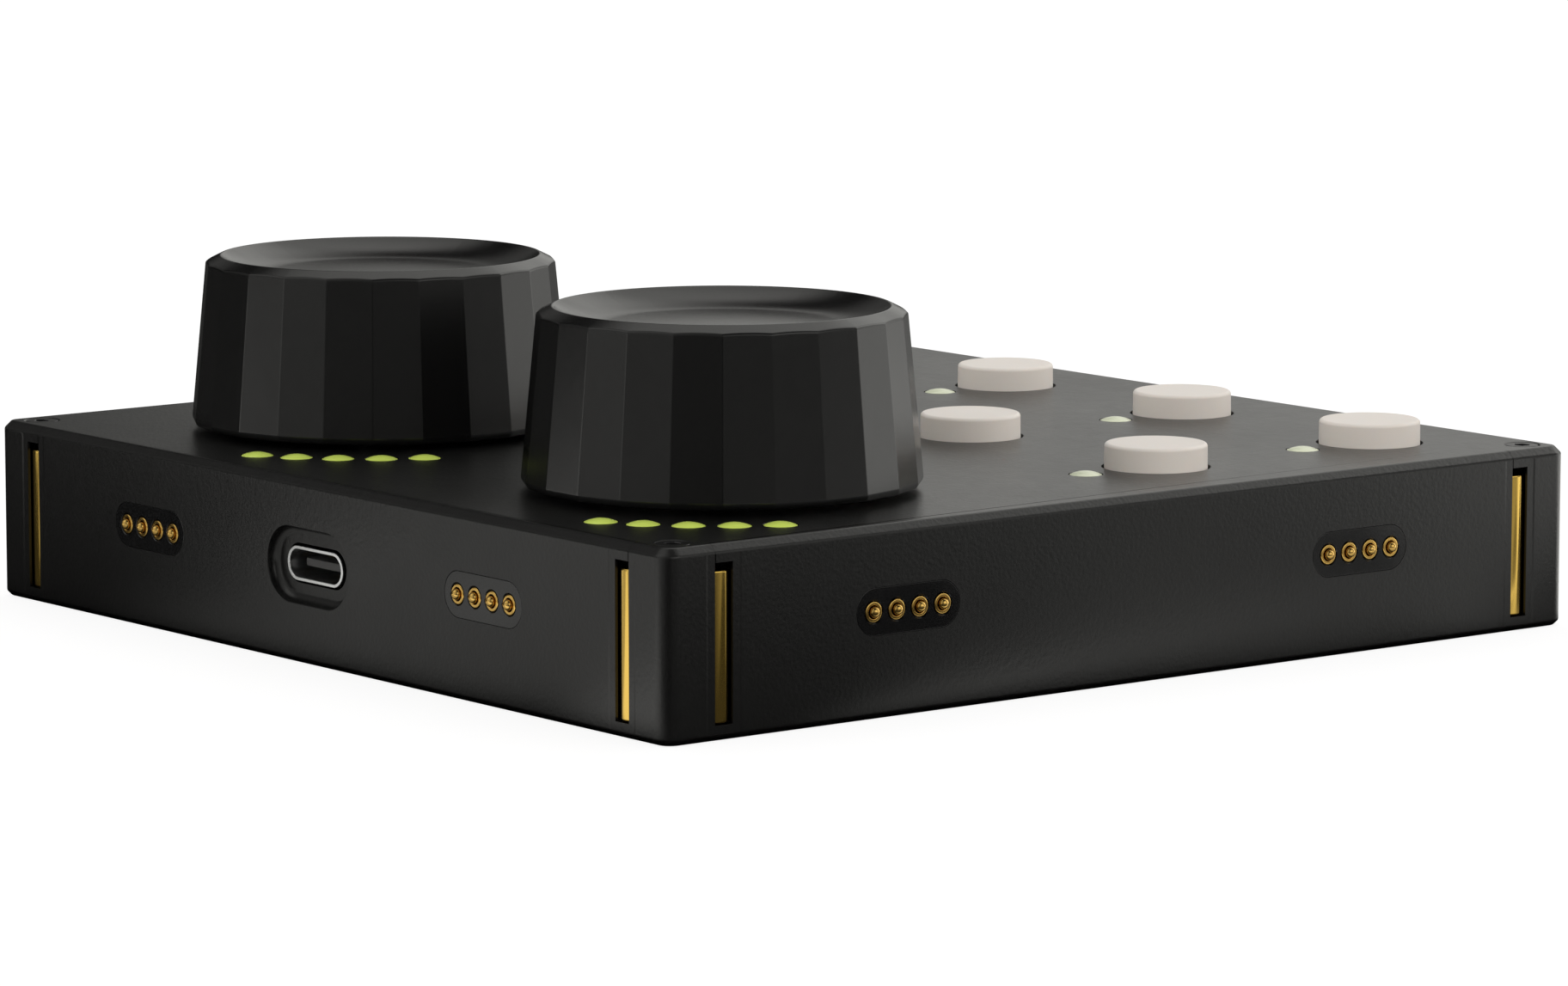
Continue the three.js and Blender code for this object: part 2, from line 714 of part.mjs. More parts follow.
// Finishes
const finish = (color, roughness, metalness) => new THREE.MeshStandardMaterial({ color, roughness, metalness });
const shellBlack = finish('#1b1b1b', 0.55, 0);
const coverBlack = finish('#161616', 0.6, 0);
const wheelBlack = finish('#232323', 0.45, 0);
const buttonWhite = finish('#e9e2da', 0.55, 0);
const arcGreen = finish('#b6d63a', 0.35, 0);
const rowGreen = finish('#c3dc78', 0.35, 0);
const blockBlack = finish('#1e1e1f', 0.35, 0);
const contactGold = finish('#dcba55', 0.25, 1);
const magnetGold = finish('#d8b653', 0.25, 1);
const steel = finish('#b9bcc0', 0.3, 1);
const screwBlack = finish('#121212', 0.4, 1);
const boardGreen = finish('#12301f', 0.5, 0);
const partGrey = finish('#8f9296', 0.4, 1);
const switchBlack = finish('#1c1d20', 0.5, 0);
const tongueBlack = finish('#0e0e10', 0.5, 0);

const controller = new THREE.Group();

function add(name, geometry, material, parent = controller, x = 0, y = 0, z = 0) {
  const mesh = new THREE.Mesh(geometry, material);
  mesh.name = name;
  mesh.position.set(x, y, z);
  parent.add(mesh);
}

add('top_shell', topShell(), shellBlack);
add('bottom_cover', bottomCover(), coverBlack);
add('main_board', mainBoard(), boardGreen);
add('controller_chip', controllerChip(), partGrey);

const screwGeometry = coverScrew();
cornerSigns.forEach(([sx, sy], i) => {
  add(`cover_screw_${i + 1}`, screwGeometry, screwBlack, controller,
    sx * (half - screwInset), sy * (half - screwInset));
});

const wheelGeometry = jogWheel();
const shaftGeometry = encoderShaft();
const encoderGeometry = encoderBody();
for (const [hand, x, y] of wheelPlaces) {
  add(`jog_wheel_${hand}`, wheelGeometry, wheelBlack, controller, x, y);
  add(`encoder_shaft_${hand}`, shaftGeometry, steel, controller, x, y);
  add(`encoder_body_${hand}`, encoderGeometry, partGrey, controller, x, y);
  add(`light_guide_${hand}`, arcGuide(x, y), arcGreen, controller, x, y);
}

const capGeometry = buttonCap();
const switchGeometry = buttonSwitch();
buttonPlaces.forEach(([x, y], i) => {
  add(`button_cap_${i + 1}`, capGeometry, buttonWhite, controller, x, y);
  add(`button_switch_${i + 1}`, switchGeometry, switchBlack, controller, x, y);
});

const rowGeometry = rowGuide();
['rear', 'front'].forEach((name, i) => {
  add(`light_guide_${name}_row`, rowGeometry, rowGreen, controller, 0, rowShares[i] * gridPitch + lensOffset);
});

const magnetGeometry = rodMagnet();
const blockGeometry = connectorBlock();
const pinsGeometry = contactPins();
for (const [name, angle] of sides) {
  const side = new THREE.Group();
  side.rotation.z = angle;
  controller.add(side);
  for (const [hand, sign] of sideHands) {
    const magnetX = sign * (half - magnetFromCorner);
    add(`magnet_${name}_${hand}`, magnetGeometry, magnetGold, side, magnetX, magnetInset - half);
    add(`connector_block_${name}_${hand}`, blockGeometry, blockBlack, side, sign * gridPitch);
    add(`contact_pins_${name}_${hand}`, pinsGeometry, contactGold, side, sign * gridPitch);
  }
}

const socket = new THREE.Group();
socket.rotation.z = Math.PI;
controller.add(socket);
add('usb_shell', usbShell(), steel, socket);
add('usb_tongue', usbTongue(), tongueBlack, socket);

export default controller;
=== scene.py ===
from math import atan, cos, degrees, pi, radians, sin

import bmesh
import bpy
from mathutils import Matrix, Vector


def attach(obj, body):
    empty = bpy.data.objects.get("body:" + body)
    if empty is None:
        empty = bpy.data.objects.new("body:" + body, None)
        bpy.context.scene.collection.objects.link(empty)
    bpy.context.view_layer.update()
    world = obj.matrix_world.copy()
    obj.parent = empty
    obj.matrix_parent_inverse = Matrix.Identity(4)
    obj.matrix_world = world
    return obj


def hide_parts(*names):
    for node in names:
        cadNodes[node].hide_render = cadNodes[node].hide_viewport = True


# A square desktop controller: two jog wheels, eight push buttons, snap-together sides.
# Sizes of pieces are in millimetres, and every mesh is turned into metres when it is made.
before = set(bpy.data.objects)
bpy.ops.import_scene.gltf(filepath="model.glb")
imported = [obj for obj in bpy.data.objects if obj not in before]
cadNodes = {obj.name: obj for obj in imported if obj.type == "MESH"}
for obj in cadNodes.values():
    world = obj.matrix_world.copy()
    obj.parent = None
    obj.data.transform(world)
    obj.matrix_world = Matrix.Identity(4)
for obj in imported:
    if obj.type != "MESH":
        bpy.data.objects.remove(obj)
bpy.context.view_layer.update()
mm = 0.001

housing = {
    "side": 107.3, "height": 17.2, "cornerRadius": 1.7, "leastRadiusShare": 0.45,
    "topChamfer": 0.7, "bottomChamfer": 0.5, "wall": 2.6, "top": 2.0, "gridPitch": 26.9,
}
half = housing["side"] / 2
topZ = housing["height"]
ceilingZ = topZ - housing["top"]
pitch = housing["gridPitch"]
sideAngles = {"front": 0, "right": 90, "rear": 180, "left": -90}
hands = {"a": -1, "b": 1}
sidePlaces = [(f"{side}_{hand}", side, sign) for side in sideAngles for hand, sign in hands.items()]


# ---- Mesh tools

def linked(name, data):
    holder = bpy.data.objects.new(name, data)
    bpy.context.scene.collection.objects.link(holder)
    return holder


def makeObject(name, vertices, faces):
    mesh = bpy.data.meshes.new(name)
    mesh.from_pydata([Vector(v) * mm for v in vertices], [], faces)
    mesh.validate()
    mesh.update()
    return linked(name, mesh)


def polar(radius, angle, x=0.0, y=0.0):
    return x + radius * cos(angle), y + radius * sin(angle)


# The sine and one minus the cosine at even steps of a quarter turn.
def quarterTurn(steps):
    angles = [radians(90 * i / steps) for i in range(steps + 1)]
    return [(sin(angle), 1 - cos(angle)) for angle in angles]


def ringFaces(rings):
    faces = []
    for low, high in zip(rings, rings[1:]):
        count = max(len(low), len(high))
        for i in range(count if count > 1 else 0):
            j = (i + 1) % count
            if len(low) == 1:
                faces.append((low[0], high[j], high[i]))
            elif len(high) == 1:
                faces.append((low[i], low[j], high[0]))
            else:
                faces.append((low[i], low[j], high[j], high[i]))
    return faces


# A profile of (radius, z) points turned about an upright axis; it runs up the outside.
def turned(profile, segments, x=0.0, y=0.0):
    vertices, rings = [], []
    for radius, z in profile:
        if radius < 1e-6:
            rings.append([len(vertices)])
            vertices.append((x, y, z))
            continue
        rings.append(list(range(len(vertices), len(vertices) + segments)))
        for i in range(segments):
            vertices.append((*polar(radius, 2 * pi * i / segments, x, y), z))
    return vertices, ringFaces(rings)


# Rings of (x, y) points at given heights, closed at both ends.
def lofted(rings):
    vertices, numbered = [], []
    for points, z in rings:
        numbered.append(list(range(len(vertices), len(vertices) + len(points))))
        vertices += [(px, py, z) for px, py in points]
    faces = ringFaces(numbered)
    faces.append(tuple(reversed(numbered[0])))
    faces.append(tuple(numbered[-1]))
    return vertices, faces


def slab(x0, x1, y0, y1, z0, z1):
    ring = [(x0, y0), (x1, y0), (x1, y1), (x0, y1)]
    return lofted([(ring, z0), (ring, z1)])


# A block behind the -Y face, centred on x and z, between two depths.
def sideBlock(x, z, halfWidth, halfHeight, near, far):
    return slab(x - halfWidth, x + halfWidth, near - half, far - half,
                z - halfHeight, z + halfHeight)


def joined(*parts):
    vertices, faces = [], []
    for moreVertices, moreFaces in parts:
        start = len(vertices)
        vertices += moreVertices
        faces += [tuple(start + i for i in face) for face in moreFaces]
    return vertices, faces


def moved(part, matrix):
    return [tuple(matrix @ Vector(v)) for v in part[0]], part[1]


def turnedToSide(part, side):
    return moved(part, Matrix.Rotation(radians(sideAngles[side]), 4, "Z"))


# A shape built along Z is laid down, so that Z becomes the depth behind one side's face.
def intoSide(part, side, x, z):
    lay = Matrix.Translation((x, -half, z)) @ Matrix.Rotation(radians(-90), 4, "X")
    return turnedToSide(moved(part, lay), side)


# Every inner corner of a line of points is rounded with a short curve, which takes no more
# than a share of the lengths beside it.
def softened(points, reach, steps=3, share=0.45):
    result = [points[0]]
    for before, here, after in zip(points, points[1:], points[2:]):
        a, b, c = Vector(before), Vector(here), Vector(after)
        cut = min(reach, (a - b).length * share, (c - b).length * share)
        start = b + (a - b).normalized() * cut
        end = b + (c - b).normalized() * cut
        for i in range(steps + 1):
            t = i / steps
            result.append(tuple(start * (1 - t) ** 2 + b * (2 * t * (1 - t)) + end * t ** 2))
    result.append(points[-1])
    return result


def stadiumRing(length, height, radius, steps):
    x, y = length / 2 - radius, height / 2 - radius
    points = []
    for cx, cy, start in [(x, y, 0), (-x, y, 90), (-x, -y, 180), (x, -y, 270)]:
        for i in range(steps + 1):
            points.append(polar(radius, radians(start + 90 * i / steps), cx, cy))

    def apart(first, second):
        return (Vector(first) - Vector(second)).length > 1e-5
    kept = []
    for point in points:
        if not kept or apart(point, kept[-1]):
            kept.append(point)
    return kept if apart(kept[0], kept[-1]) else kept[:-1]


# A stadium whose outline grows by each step's margin, from one depth to the next.
def stadiumLoft(length, height, levels, steps=24):
    rings = []
    for depth, margin in levels:
        ring = stadiumRing(length + 2 * margin, height + 2 * margin, height / 2 + margin, steps)
        rings.append((ring, depth))
    return lofted(rings)


def carveWith(piece, tool, operation="DIFFERENCE"):
    modifier = piece.modifiers.new("carve", "BOOLEAN")
    modifier.operation = operation
    modifier.solver = "MANIFOLD"
    modifier.object = tool
    graph = bpy.context.evaluated_depsgraph_get()
    mesh = bpy.data.meshes.new_from_object(piece.evaluated_get(graph))
    used = [piece.data, tool.data]
    piece.modifiers.clear()
    piece.data = mesh
    mesh.name = piece.name
    bpy.data.objects.remove(tool)
    for old in used:
        bpy.data.meshes.remove(old)


def carve(piece, part, operation="DIFFERENCE"):
    carveWith(piece, makeObject(piece.name + "_tool", *part), operation)


# Broad flat faces keep their own normal, and the small faces round them blend into it.
def crispNormals(piece, flatArea, smoothAngle):
    work = bmesh.new()
    work.from_mesh(piece.data)
    work.faces.ensure_lookup_table()
    groups, areas = [-1] * len(work.faces), []
    for face in work.faces:
        if groups[face.index] >= 0:
            continue
        groups[face.index] = len(areas)
        stack, total = [face], 0.0
        while stack:
            found = stack.pop()
            total += found.calc_area()
            for other in (f for edge in found.edges for f in edge.link_faces):
                if groups[other.index] < 0 and other.normal.dot(face.normal) > 0.99999:
                    groups[other.index] = len(areas)
                    stack.append(other)
        areas.append(total / mm ** 2)
    flat = [areas[group] > flatArea for group in groups]
    limit = cos(radians(smoothAngle))
    normals = []
    for face in work.faces:
        for loop in face.loops:
            near = [f for f in loop.vert.link_faces if f.normal.dot(face.normal) > limit]
            firm = [f for f in near if flat[f.index]]
            total = sum((f.normal * f.calc_area() for f in near), Vector())
            if flat[face.index] or total.length == 0:
                total = face.normal
            elif firm:
                total = max(firm, key=lambda f: f.normal.dot(face.normal)).normal
            normals.append(total.normalized())
    work.free()
    piece.data.shade_smooth()
    piece.data.normals_split_custom_set(normals)


def paint(piece, finish):
    piece.data.materials.clear()
    piece.data.materials.append(materials[finish])


# The last steps of each piece. Flat faces of more than flatArea square millimetres stay flat.
def place(piece, flatArea, finish, body, slot, *replaced, smoothAngle=38):
    crispNormals(piece, flatArea, smoothAngle)
    paint(piece, finish)
    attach(piece, body)
    if replaced:
        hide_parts(*replaced)


# ---- Material tools

# The node tree to which nodes and links are added.
current = {}


def feed(socket, value):
    if isinstance(value, bpy.types.NodeSocket):
        current["tree"].links.new(value, socket)
    elif socket.type == "RGBA":
        socket.default_value = (*value, 1.0)
    else:
        socket.default_value = value


def addNode(kind, inputs=None, **settings):
    node = current["tree"].nodes.new(kind)
    for key, value in settings.items():
        setattr(node, key, value)
    for key, value in (inputs or {}).items():
        feed(node.inputs[key], value)
    return node


def mathNode(operation, *values, clamp=False):
    inputs = dict(enumerate(values))
    node = addNode("ShaderNodeMath", inputs, operation=operation, use_clamp=clamp)
    return node.outputs[0]


def times(first, second, clamp=False):
    return mathNode("MULTIPLY", first, second, clamp=clamp)


def minus(first, second):
    return mathNode("SUBTRACT", first, second)


def plus(*values):
    total = values[0]
    for value in values[1:]:
        total = mathNode("ADD", total, value)
    return total


def mixColours(factor, first, second):
    inputs = {0: factor, 6: first, 7: second}
    return addNode("ShaderNodeMix", inputs, data_type="RGBA").outputs[2]


# A colour as written on a screen, 0 to 255, turned into a shader's linear values.
def screen(*colour):
    shares = [value / 255 for value in colour]
    return tuple(share / 12.92 if share <= 0.04045 else ((share + 0.055) / 1.055) ** 2.4
                 for share in shares)


def openTreeOf(owner):
    owner.use_nodes = True
    owner.node_tree.nodes.clear()
    current["tree"] = owner.node_tree


def newGroup(name, inputs, outputs):
    group = current["tree"] = bpy.data.node_groups.new(name, "ShaderNodeTree")
    labels = [(label, "INPUT") for label in inputs] + [(label, "OUTPUT") for label in outputs]
    for label, way in labels:
        socket = group.interface.new_socket(name=label, in_out=way, socket_type="NodeSocketFloat")
        if way == "INPUT":
            socket.default_value = inputs[label]
    given, result = (group.nodes.new(kind) for kind in ("NodeGroupInput", "NodeGroupOutput"))
    return group, given.outputs, result.inputs


# Noise at the object's own place, with a size in millimetres.
def noiseOf(size, **inputs):
    spot = addNode("ShaderNodeTexCoord").outputs["Object"]
    scale = mathNode("DIVIDE", 1 / mm, size)
    inputs.update({"Vector": spot, "Scale": scale})
    return addNode("ShaderNodeTexNoise", inputs).outputs["Fac"], spot, scale


# Fine moulded or blasted grain: pits, and specks where the noise passes a threshold.
def grainGroup():
    group, given, result = newGroup("fineGrain", {"Size": 0.3}, ["Height", "Specks"])
    noise, spot, scale = noiseOf(given["Size"], Detail=2.5, Roughness=0.6)
    inputs = {"Vector": spot, "Scale": times(scale, 0.8)}
    pits = addNode("ShaderNodeTexVoronoi", inputs, feature="SMOOTH_F1").outputs["Distance"]
    feed(result["Height"], plus(noise, times(pits, 0.6)))
    threshold, steepness = 0.67, 9.0
    specks = times(minus(noise, threshold), steepness, clamp=True)
    feed(result["Specks"], specks)
    return group


# Slow, cloudy differences in gloss, as handling and moulding leave them.
def handlingGroup():
    sizes = {"Patch Size": 18.0, "Streak Size": 3.0}
    group, given, result = newGroup("handlingMarks", sizes, ["Patches", "Streaks"])
    for size, label, distortion in zip(sizes, ("Patches", "Streaks"), (0.4, 1.6)):
        noise = noiseOf(given[size], Detail=4.0, Distortion=distortion)[0]
        feed(result[label], minus(noise, 0.5))
    return group


# Rubbed edges: high where the surface turns away from the piece's main directions.
def edgeRubGroup():
    sizes = {"Sharpness": 6.0, "Break-up Size": 1.2}
    group, given, result = newGroup("edgeRub", sizes, ["Mask"])
    normal = addNode("ShaderNodeTexCoord").outputs["Normal"]
    split = addNode("ShaderNodeSeparateXYZ", {0: normal}).outputs
    x, y, z = (mathNode("ABSOLUTE", split[i]) for i in range(3))
    largest = mathNode("MAXIMUM", mathNode("MAXIMUM", x, y), z)
    edge = times(minus(1.0, largest), given["Sharpness"], clamp=True)
    noise = noiseOf(given["Break-up Size"])[0]
    feed(result["Mask"], times(edge, plus(noise, 0.3), clamp=True))
    return group


groups = {"grain": grainGroup(), "handling": handlingGroup(), "edgeRub": edgeRubGroup()}


def useGroup(key, inputs=None):
    return addNode("ShaderNodeGroup", inputs, node_tree=groups[key]).outputs


# A base colour with specks and clouds, rubbed edges, uneven gloss and grain.
def grainedMaterial(name, recipe):
    material = bpy.data.materials.new(name)
    openTreeOf(material)
    grain = useGroup("grain", {"Size": recipe["grainSize"]})
    handling = useGroup("handling", {
        "Patch Size": recipe["patchSize"], "Streak Size": recipe["streakSize"]})
    base = screen(*recipe["colour"])
    specks = times(grain["Specks"], recipe["speckStrength"])
    colour = mixColours(specks, base, screen(*recipe["speckColour"]))
    patches = times(handling["Patches"], recipe["cloudContrast"])
    cloud = mathNode("ADD", 0.5, patches, clamp=True)
    shade = tuple(value * recipe["cloudShade"] for value in base)
    colour = mixColours(times(cloud, recipe["cloudStrength"]), colour, shade)
    roughness = plus(recipe["roughness"],
                     times(handling["Patches"], recipe["glossDrift"]),
                     times(handling["Streaks"], recipe["streakGloss"]))
    if "rubColour" in recipe:
        mask = times(useGroup("edgeRub")["Mask"], recipe["rubStrength"])
        colour = mixColours(mask, colour, screen(*recipe["rubColour"]))
        roughness = minus(roughness, times(mask, recipe["rubPolish"]))
    bump = addNode("ShaderNodeBump", {
        "Strength": recipe["bumpStrength"], "Distance": recipe["grainDepth"] * mm,
        "Height": grain["Height"]})
    shader = addNode("ShaderNodeBsdfPrincipled", {
        "Base Color": colour, "Metallic": recipe["metallic"], "IOR": recipe["ior"],
        "Roughness": mathNode("MAXIMUM", roughness, 0.05, clamp=True),
        "Specular IOR Level": recipe["specular"], "Normal": bump.outputs["Normal"],
        "Subsurface Weight": recipe["subsurface"], "Subsurface Scale": recipe["subsurfaceScale"],
        "Subsurface Radius": recipe["subsurfaceRadius"]})
    addNode("ShaderNodeOutputMaterial", {"Surface": shader.outputs[0]})
    return material


usualFinish = {
    "metallic": 0.0, "specular": 0.5, "ior": 1.5, "bumpStrength": 0.3, "speckStrength": 0.5,
    "patchSize": 18.0, "streakSize": 3.0, "cloudStrength": 0.4, "cloudShade": 0.88,
    "cloudContrast": 1.6, "glossDrift": 0.12, "streakGloss": 0.06, "rubStrength": 0.5,
    "rubPolish": 0.15, "subsurface": 0.0, "subsurfaceRadius": (1.0, 0.6, 0.4),
    "subsurfaceScale": 0.0008,
}


# Colours as on a screen, sizes in millimetres.
def finish(colour, speckColour, roughness, grainSize, grainDepth, **more):
    usual = dict(usualFinish, colour=colour, speckColour=speckColour, roughness=roughness)
    return dict(usual, grainSize=grainSize, grainDepth=grainDepth, **more)


lensLook = {"speckStrength": 0.25, "cloudStrength": 0.35, "patchSize": 1.6, "streakSize": 0.8}
finishes = {
    "shellBlack": finish(
        (14, 14, 14), (36, 36, 36), 0.31, 0.32, 0.03, speckStrength=0.35, bumpStrength=0.5,
        glossDrift=0.06, rubColour=(30, 30, 30), rubStrength=0.06),
    "coverBlack": finish(
        (24, 24, 24), (50, 50, 50), 0.55, 0.4, 0.04, rubColour=(46, 46, 46), rubStrength=0.3),
    "wheelBlack": finish(
        (13, 13, 13), (34, 34, 34), 0.21, 0.2, 0.008, speckStrength=0.3, bumpStrength=0.25,
        glossDrift=0.04),
    "buttonWhite": finish(
        (228, 222, 215), (214, 206, 196), 0.5, 0.25, 0.012, speckStrength=0.3, specular=0.4,
        bumpStrength=0.25, cloudStrength=0.25, cloudShade=0.94, subsurface=0.12),
    "lensGreen": finish(
        (208, 229, 104), (222, 238, 146), 0.22, 0.5, 0.006, cloudShade=0.82, **lensLook),
    # The row lenses get a paler copy of the green lens colour, which paints in the white reflection
    # they show.
    "paleLensPaintedReflection": finish(
        (222, 228, 200), (236, 240, 222), 0.22, 0.5, 0.006, cloudShade=0.86, **lensLook),
    "blockBlack": finish(
        (11, 11, 12), (26, 26, 28), 0.13, 0.22, 0.008, specular=0.6, patchSize=6.0),
    "contactGold": finish(
        (230, 188, 104), (248, 222, 160), 0.19, 0.12, 0.004, metallic=1.0, speckStrength=0.4,
        patchSize=0.9, streakSize=0.3, cloudShade=0.84),
    "magnetGold": finish(
        (228, 190, 96), (246, 214, 138), 0.13, 0.5, 0.002, metallic=1.0, speckStrength=0.3,
        patchSize=4.0, streakSize=0.6, bumpStrength=0.2, cloudShade=0.86),
    "steel": finish(
        (236, 237, 238), (246, 247, 248), 0.24, 0.15, 0.005, metallic=1.0, patchSize=2.0,
        streakSize=0.4),
    "screwBlack": finish(
        (34, 34, 35), (70, 70, 72), 0.35, 0.15, 0.008, metallic=0.7, patchSize=1.5,
        rubColour=(80, 80, 82)),
    "boardGreen": finish((20, 58, 38), (38, 88, 58), 0.4, 0.8, 0.02),
    "partGrey": finish((150, 153, 157), (176, 178, 182), 0.38, 0.3, 0.01, metallic=0.9),
    "switchBlack": finish((30, 31, 34), (52, 53, 56), 0.5, 0.3, 0.015),
    "tongueBlack": finish((60, 60, 60), (80, 80, 80), 0.4, 0.2, 0.006),
}
materials = {name: grainedMaterial(name, recipe) for name, recipe in finishes.items()}
print("materials:", len(materials))


# ---- Top shell

shell = {
    "edge": 0.16, "cornerSteps": 20, "coverRim": 1.0, "coverThickness": 1.4, "seatGap": 0.1,
    "magnetFromCorner": 6.3, "magnetInset": 1.7, "pocketRadius": 1.7, "pocketWall": 1.1,
    "slotWidth": 1.95, "slotTop": 15.6, "stripHalf": 1.95, "stripSlope": 0.22,
    "stripDepth": 0.03, "stripMargin": 0.15, "seamWidth": 0.1, "seamDepth": 0.12,
    "seamOnTop": 0.35, "insert": (11.6, 4.15), "insertGap": 0.05, "insertZ": 9.6, "usbX": -0.65,
    "usbZ": 9.1, "usbRecess": (13.0, 7.0), "usbDepth": 1.15, "usbFillet": 0.75,
    "usbShell": (8.94, 3.26), "usbGap": 0.2, "screwInset": 3.1, "screwBlock": 5.65,
    # Radius, and how far the mouth opens.
    "buttonHole": (5.04, 0.1), "lensHole": (1.6, 0.05), "wheelHole": (3.9, 0.1),
    # Radius and depth under the top, up the countersink.
    "screwHole": [(0.95, 0.95), (1.66, 0.1), (1.8, 0.0)],
    # Depth and margin, from outside the face to where the fillet starts.
    "usbLip": [(-1, 0.12), (0, 0.12), (0.04, 0.05), (0.11, 0.0)],
}
# Which slots have a hairline, and on which of their edges.
seamEdges = {
    "front": ((-1, -1), (1, -1)),
    "right": ((-1, 1), (1, 1)),
    "rear": ((1, 1), (-1, 1)),
    "left": ((-1, -1), (1, -1)),
}
buttonColumns = [step * pitch for step in (-1.5, -0.5, 0.5, 1.5)]
buttonSpots = [(x, y) for y in (-0.5 * pitch, -1.5 * pitch) for x in buttonColumns]
wheelSpots = {"left": (-pitch, pitch), "right": (pitch, pitch)}
lensBesideButton = 8.54
lensRing = {"radius": 23.2, "count": 5, "step": 10.0, "centre": 135.0}
cornerSigns = [(-1, 1), (1, 1), (1, -1), (-1, -1)]
screwReach = half - shell["screwInset"]
screwSpots = [(sx * screwReach, sy * screwReach) for sx, sy in cornerSigns]


def arcSpots(x, y):
    count, step = lensRing["count"], lensRing["step"]
    angles = [lensRing["centre"] + (i - (count - 1) / 2) * step for i in range(count)]
    return [polar(lensRing["radius"], radians(angle), x, y) for angle in angles]


def shellSkin():
    low, high = housing["bottomChamfer"], housing["topChamfer"]
    outline = softened([(low, 0.0), (0.0, low), (0.0, topZ - high), (high, topZ)], shell["edge"], 4)
    outline = softened([(low + 1.0, 0.0)] + outline + [(high + 1.0, topZ)], shell["edge"])[1:-1]
    least = housing["cornerRadius"] * housing["leastRadiusShare"]
    rings = []
    for inset, z in outline:
        side = housing["side"] - 2 * inset
        radius = max(housing["cornerRadius"] - inset, least)
        rings.append((stadiumRing(side, side, radius, shell["cornerSteps"]), z))
    return lofted(rings)


# What stays solid in the corners, round the screws and the magnets' pockets.
def cornerLobes(z0, z1):
    parts = []
    block = shell["screwBlock"]
    length = shell["magnetFromCorner"] + shell["pocketRadius"] + shell["pocketWall"]
    depth = shell["magnetInset"] + shell["pocketRadius"] + shell["pocketWall"]
    for sx, sy in cornerSigns:
        for reachX, reachY in ((length, depth), (depth, length), (block, block)):
            x = sorted((sx * (half - reachX), sx * (half + 1)))
            y = sorted((sy * (half - reachY), sy * (half + 1)))
            parts.append(slab(*x, *y, z0, z1))
    return parts


# A hole from the top whose mouth opens a little, so that its edge catches the light.
def mouthedHole(hole, segments, x, y):
    radius, mouth = hole
    wide, low = radius + mouth, ceilingZ - 1
    return turned([(0, low), (radius, low), (radius, topZ - mouth),
                   (radius + mouth * 0.35, topZ - mouth * 0.3), (wide, topZ), (wide, topZ + 1),
                   (0, topZ + 1)], segments, x, y)


# Where a magnet stands along the -Y side, towards one hand.
def magnetX(sign):
    return sign * (half - shell["magnetFromCorner"])


def slotCut(sign):
    x, wide = magnetX(sign), shell["slotWidth"] / 2
    back = shell["magnetInset"] - half
    return slab(x - wide, x + wide, -half - 1, back, shell["coverThickness"], shell["slotTop"])


def pocketCut(sign):
    radius, low, high = shell["pocketRadius"], shell["coverThickness"], shell["slotTop"]
    profile = [(0, low), (radius, low), (radius, high), (0, high)]
    return turned(profile, 64, magnetX(sign), shell["magnetInset"] - half)


# The faint sunk strip round a slot, with sloping edges that run on outside the face.
def stripCut(sign):
    x, wide = magnetX(sign), shell["stripHalf"]
    deep, slope = shell["stripDepth"], shell["stripSlope"]
    outside = (wide + slope * 4, -half - deep * 4)
    ring = [(x - outside[0], outside[1]), (x + outside[0], outside[1]), (x + wide, -half),
            (x + wide - slope, -half + deep), (x - wide + slope, -half + deep), (x - wide, -half)]
    low = housing["bottomChamfer"] + shell["stripMargin"]
    return lofted([(ring, low), (ring, topZ - housing["topChamfer"] - shell["stripMargin"])])


# A hairline from the slot's upper corner over the chamfer to the top.
def seamCut(sign, edgeSign):
    deep, wide, chamfer = shell["seamDepth"], shell["seamWidth"] / 2, housing["topChamfer"]
    x = magnetX(sign) + edgeSign * (shell["slotWidth"] / 2 - shell["seamWidth"] * 0.65)
    low, turn = shell["slotTop"] - 0.2, deep * 0.4
    back = -half + chamfer + shell["seamOnTop"]
    line = [(-half - 1, low), (-half + deep, low), (-half + deep, topZ - chamfer - turn),
            (-half + chamfer + turn, topZ - deep), (back, topZ - deep), (back, topZ + 1),
            (-half - 1, topZ + 1)]
    vertices = [(x + side, y, z) for side in (-wide, wide) for y, z in line]
    count = len(line)
    faces = [tuple(range(count)), tuple(reversed(range(count, 2 * count)))]
    for i in range(count):
        j = (i + 1) % count
        faces.append((j, i, i + count, j + count))
    return vertices, faces


def insertCut(side, sign):
    gap = shell["insertGap"]
    levels = [(-1, gap + 0.02), (0, gap + 0.02), (0.03, gap), (4, gap)]
    return intoSide(stadiumLoft(*shell["insert"], levels, 16), side, sign * pitch, shell["insertZ"])


def carveSocket(piece):
    depth, fillet = shell["usbDepth"], shell["usbFillet"]
    floor = [(depth - fillet * (1 - sine), -fillet * fall) for sine, fall in quarterTurn(8)]
    width, height = (size + 2 * shell["usbGap"] for size in shell["usbShell"])
    lip = [(0.7, 0.03), (depth + 0.001, 0.03), (depth + 0.04, 0.0), (4, 0.0)]
    for part in (stadiumLoft(*shell["usbRecess"], shell["usbLip"] + floor),
                 stadiumLoft(width, height, lip)):
        carve(piece, intoSide(part, "rear", shell["usbX"], shell["usbZ"]))


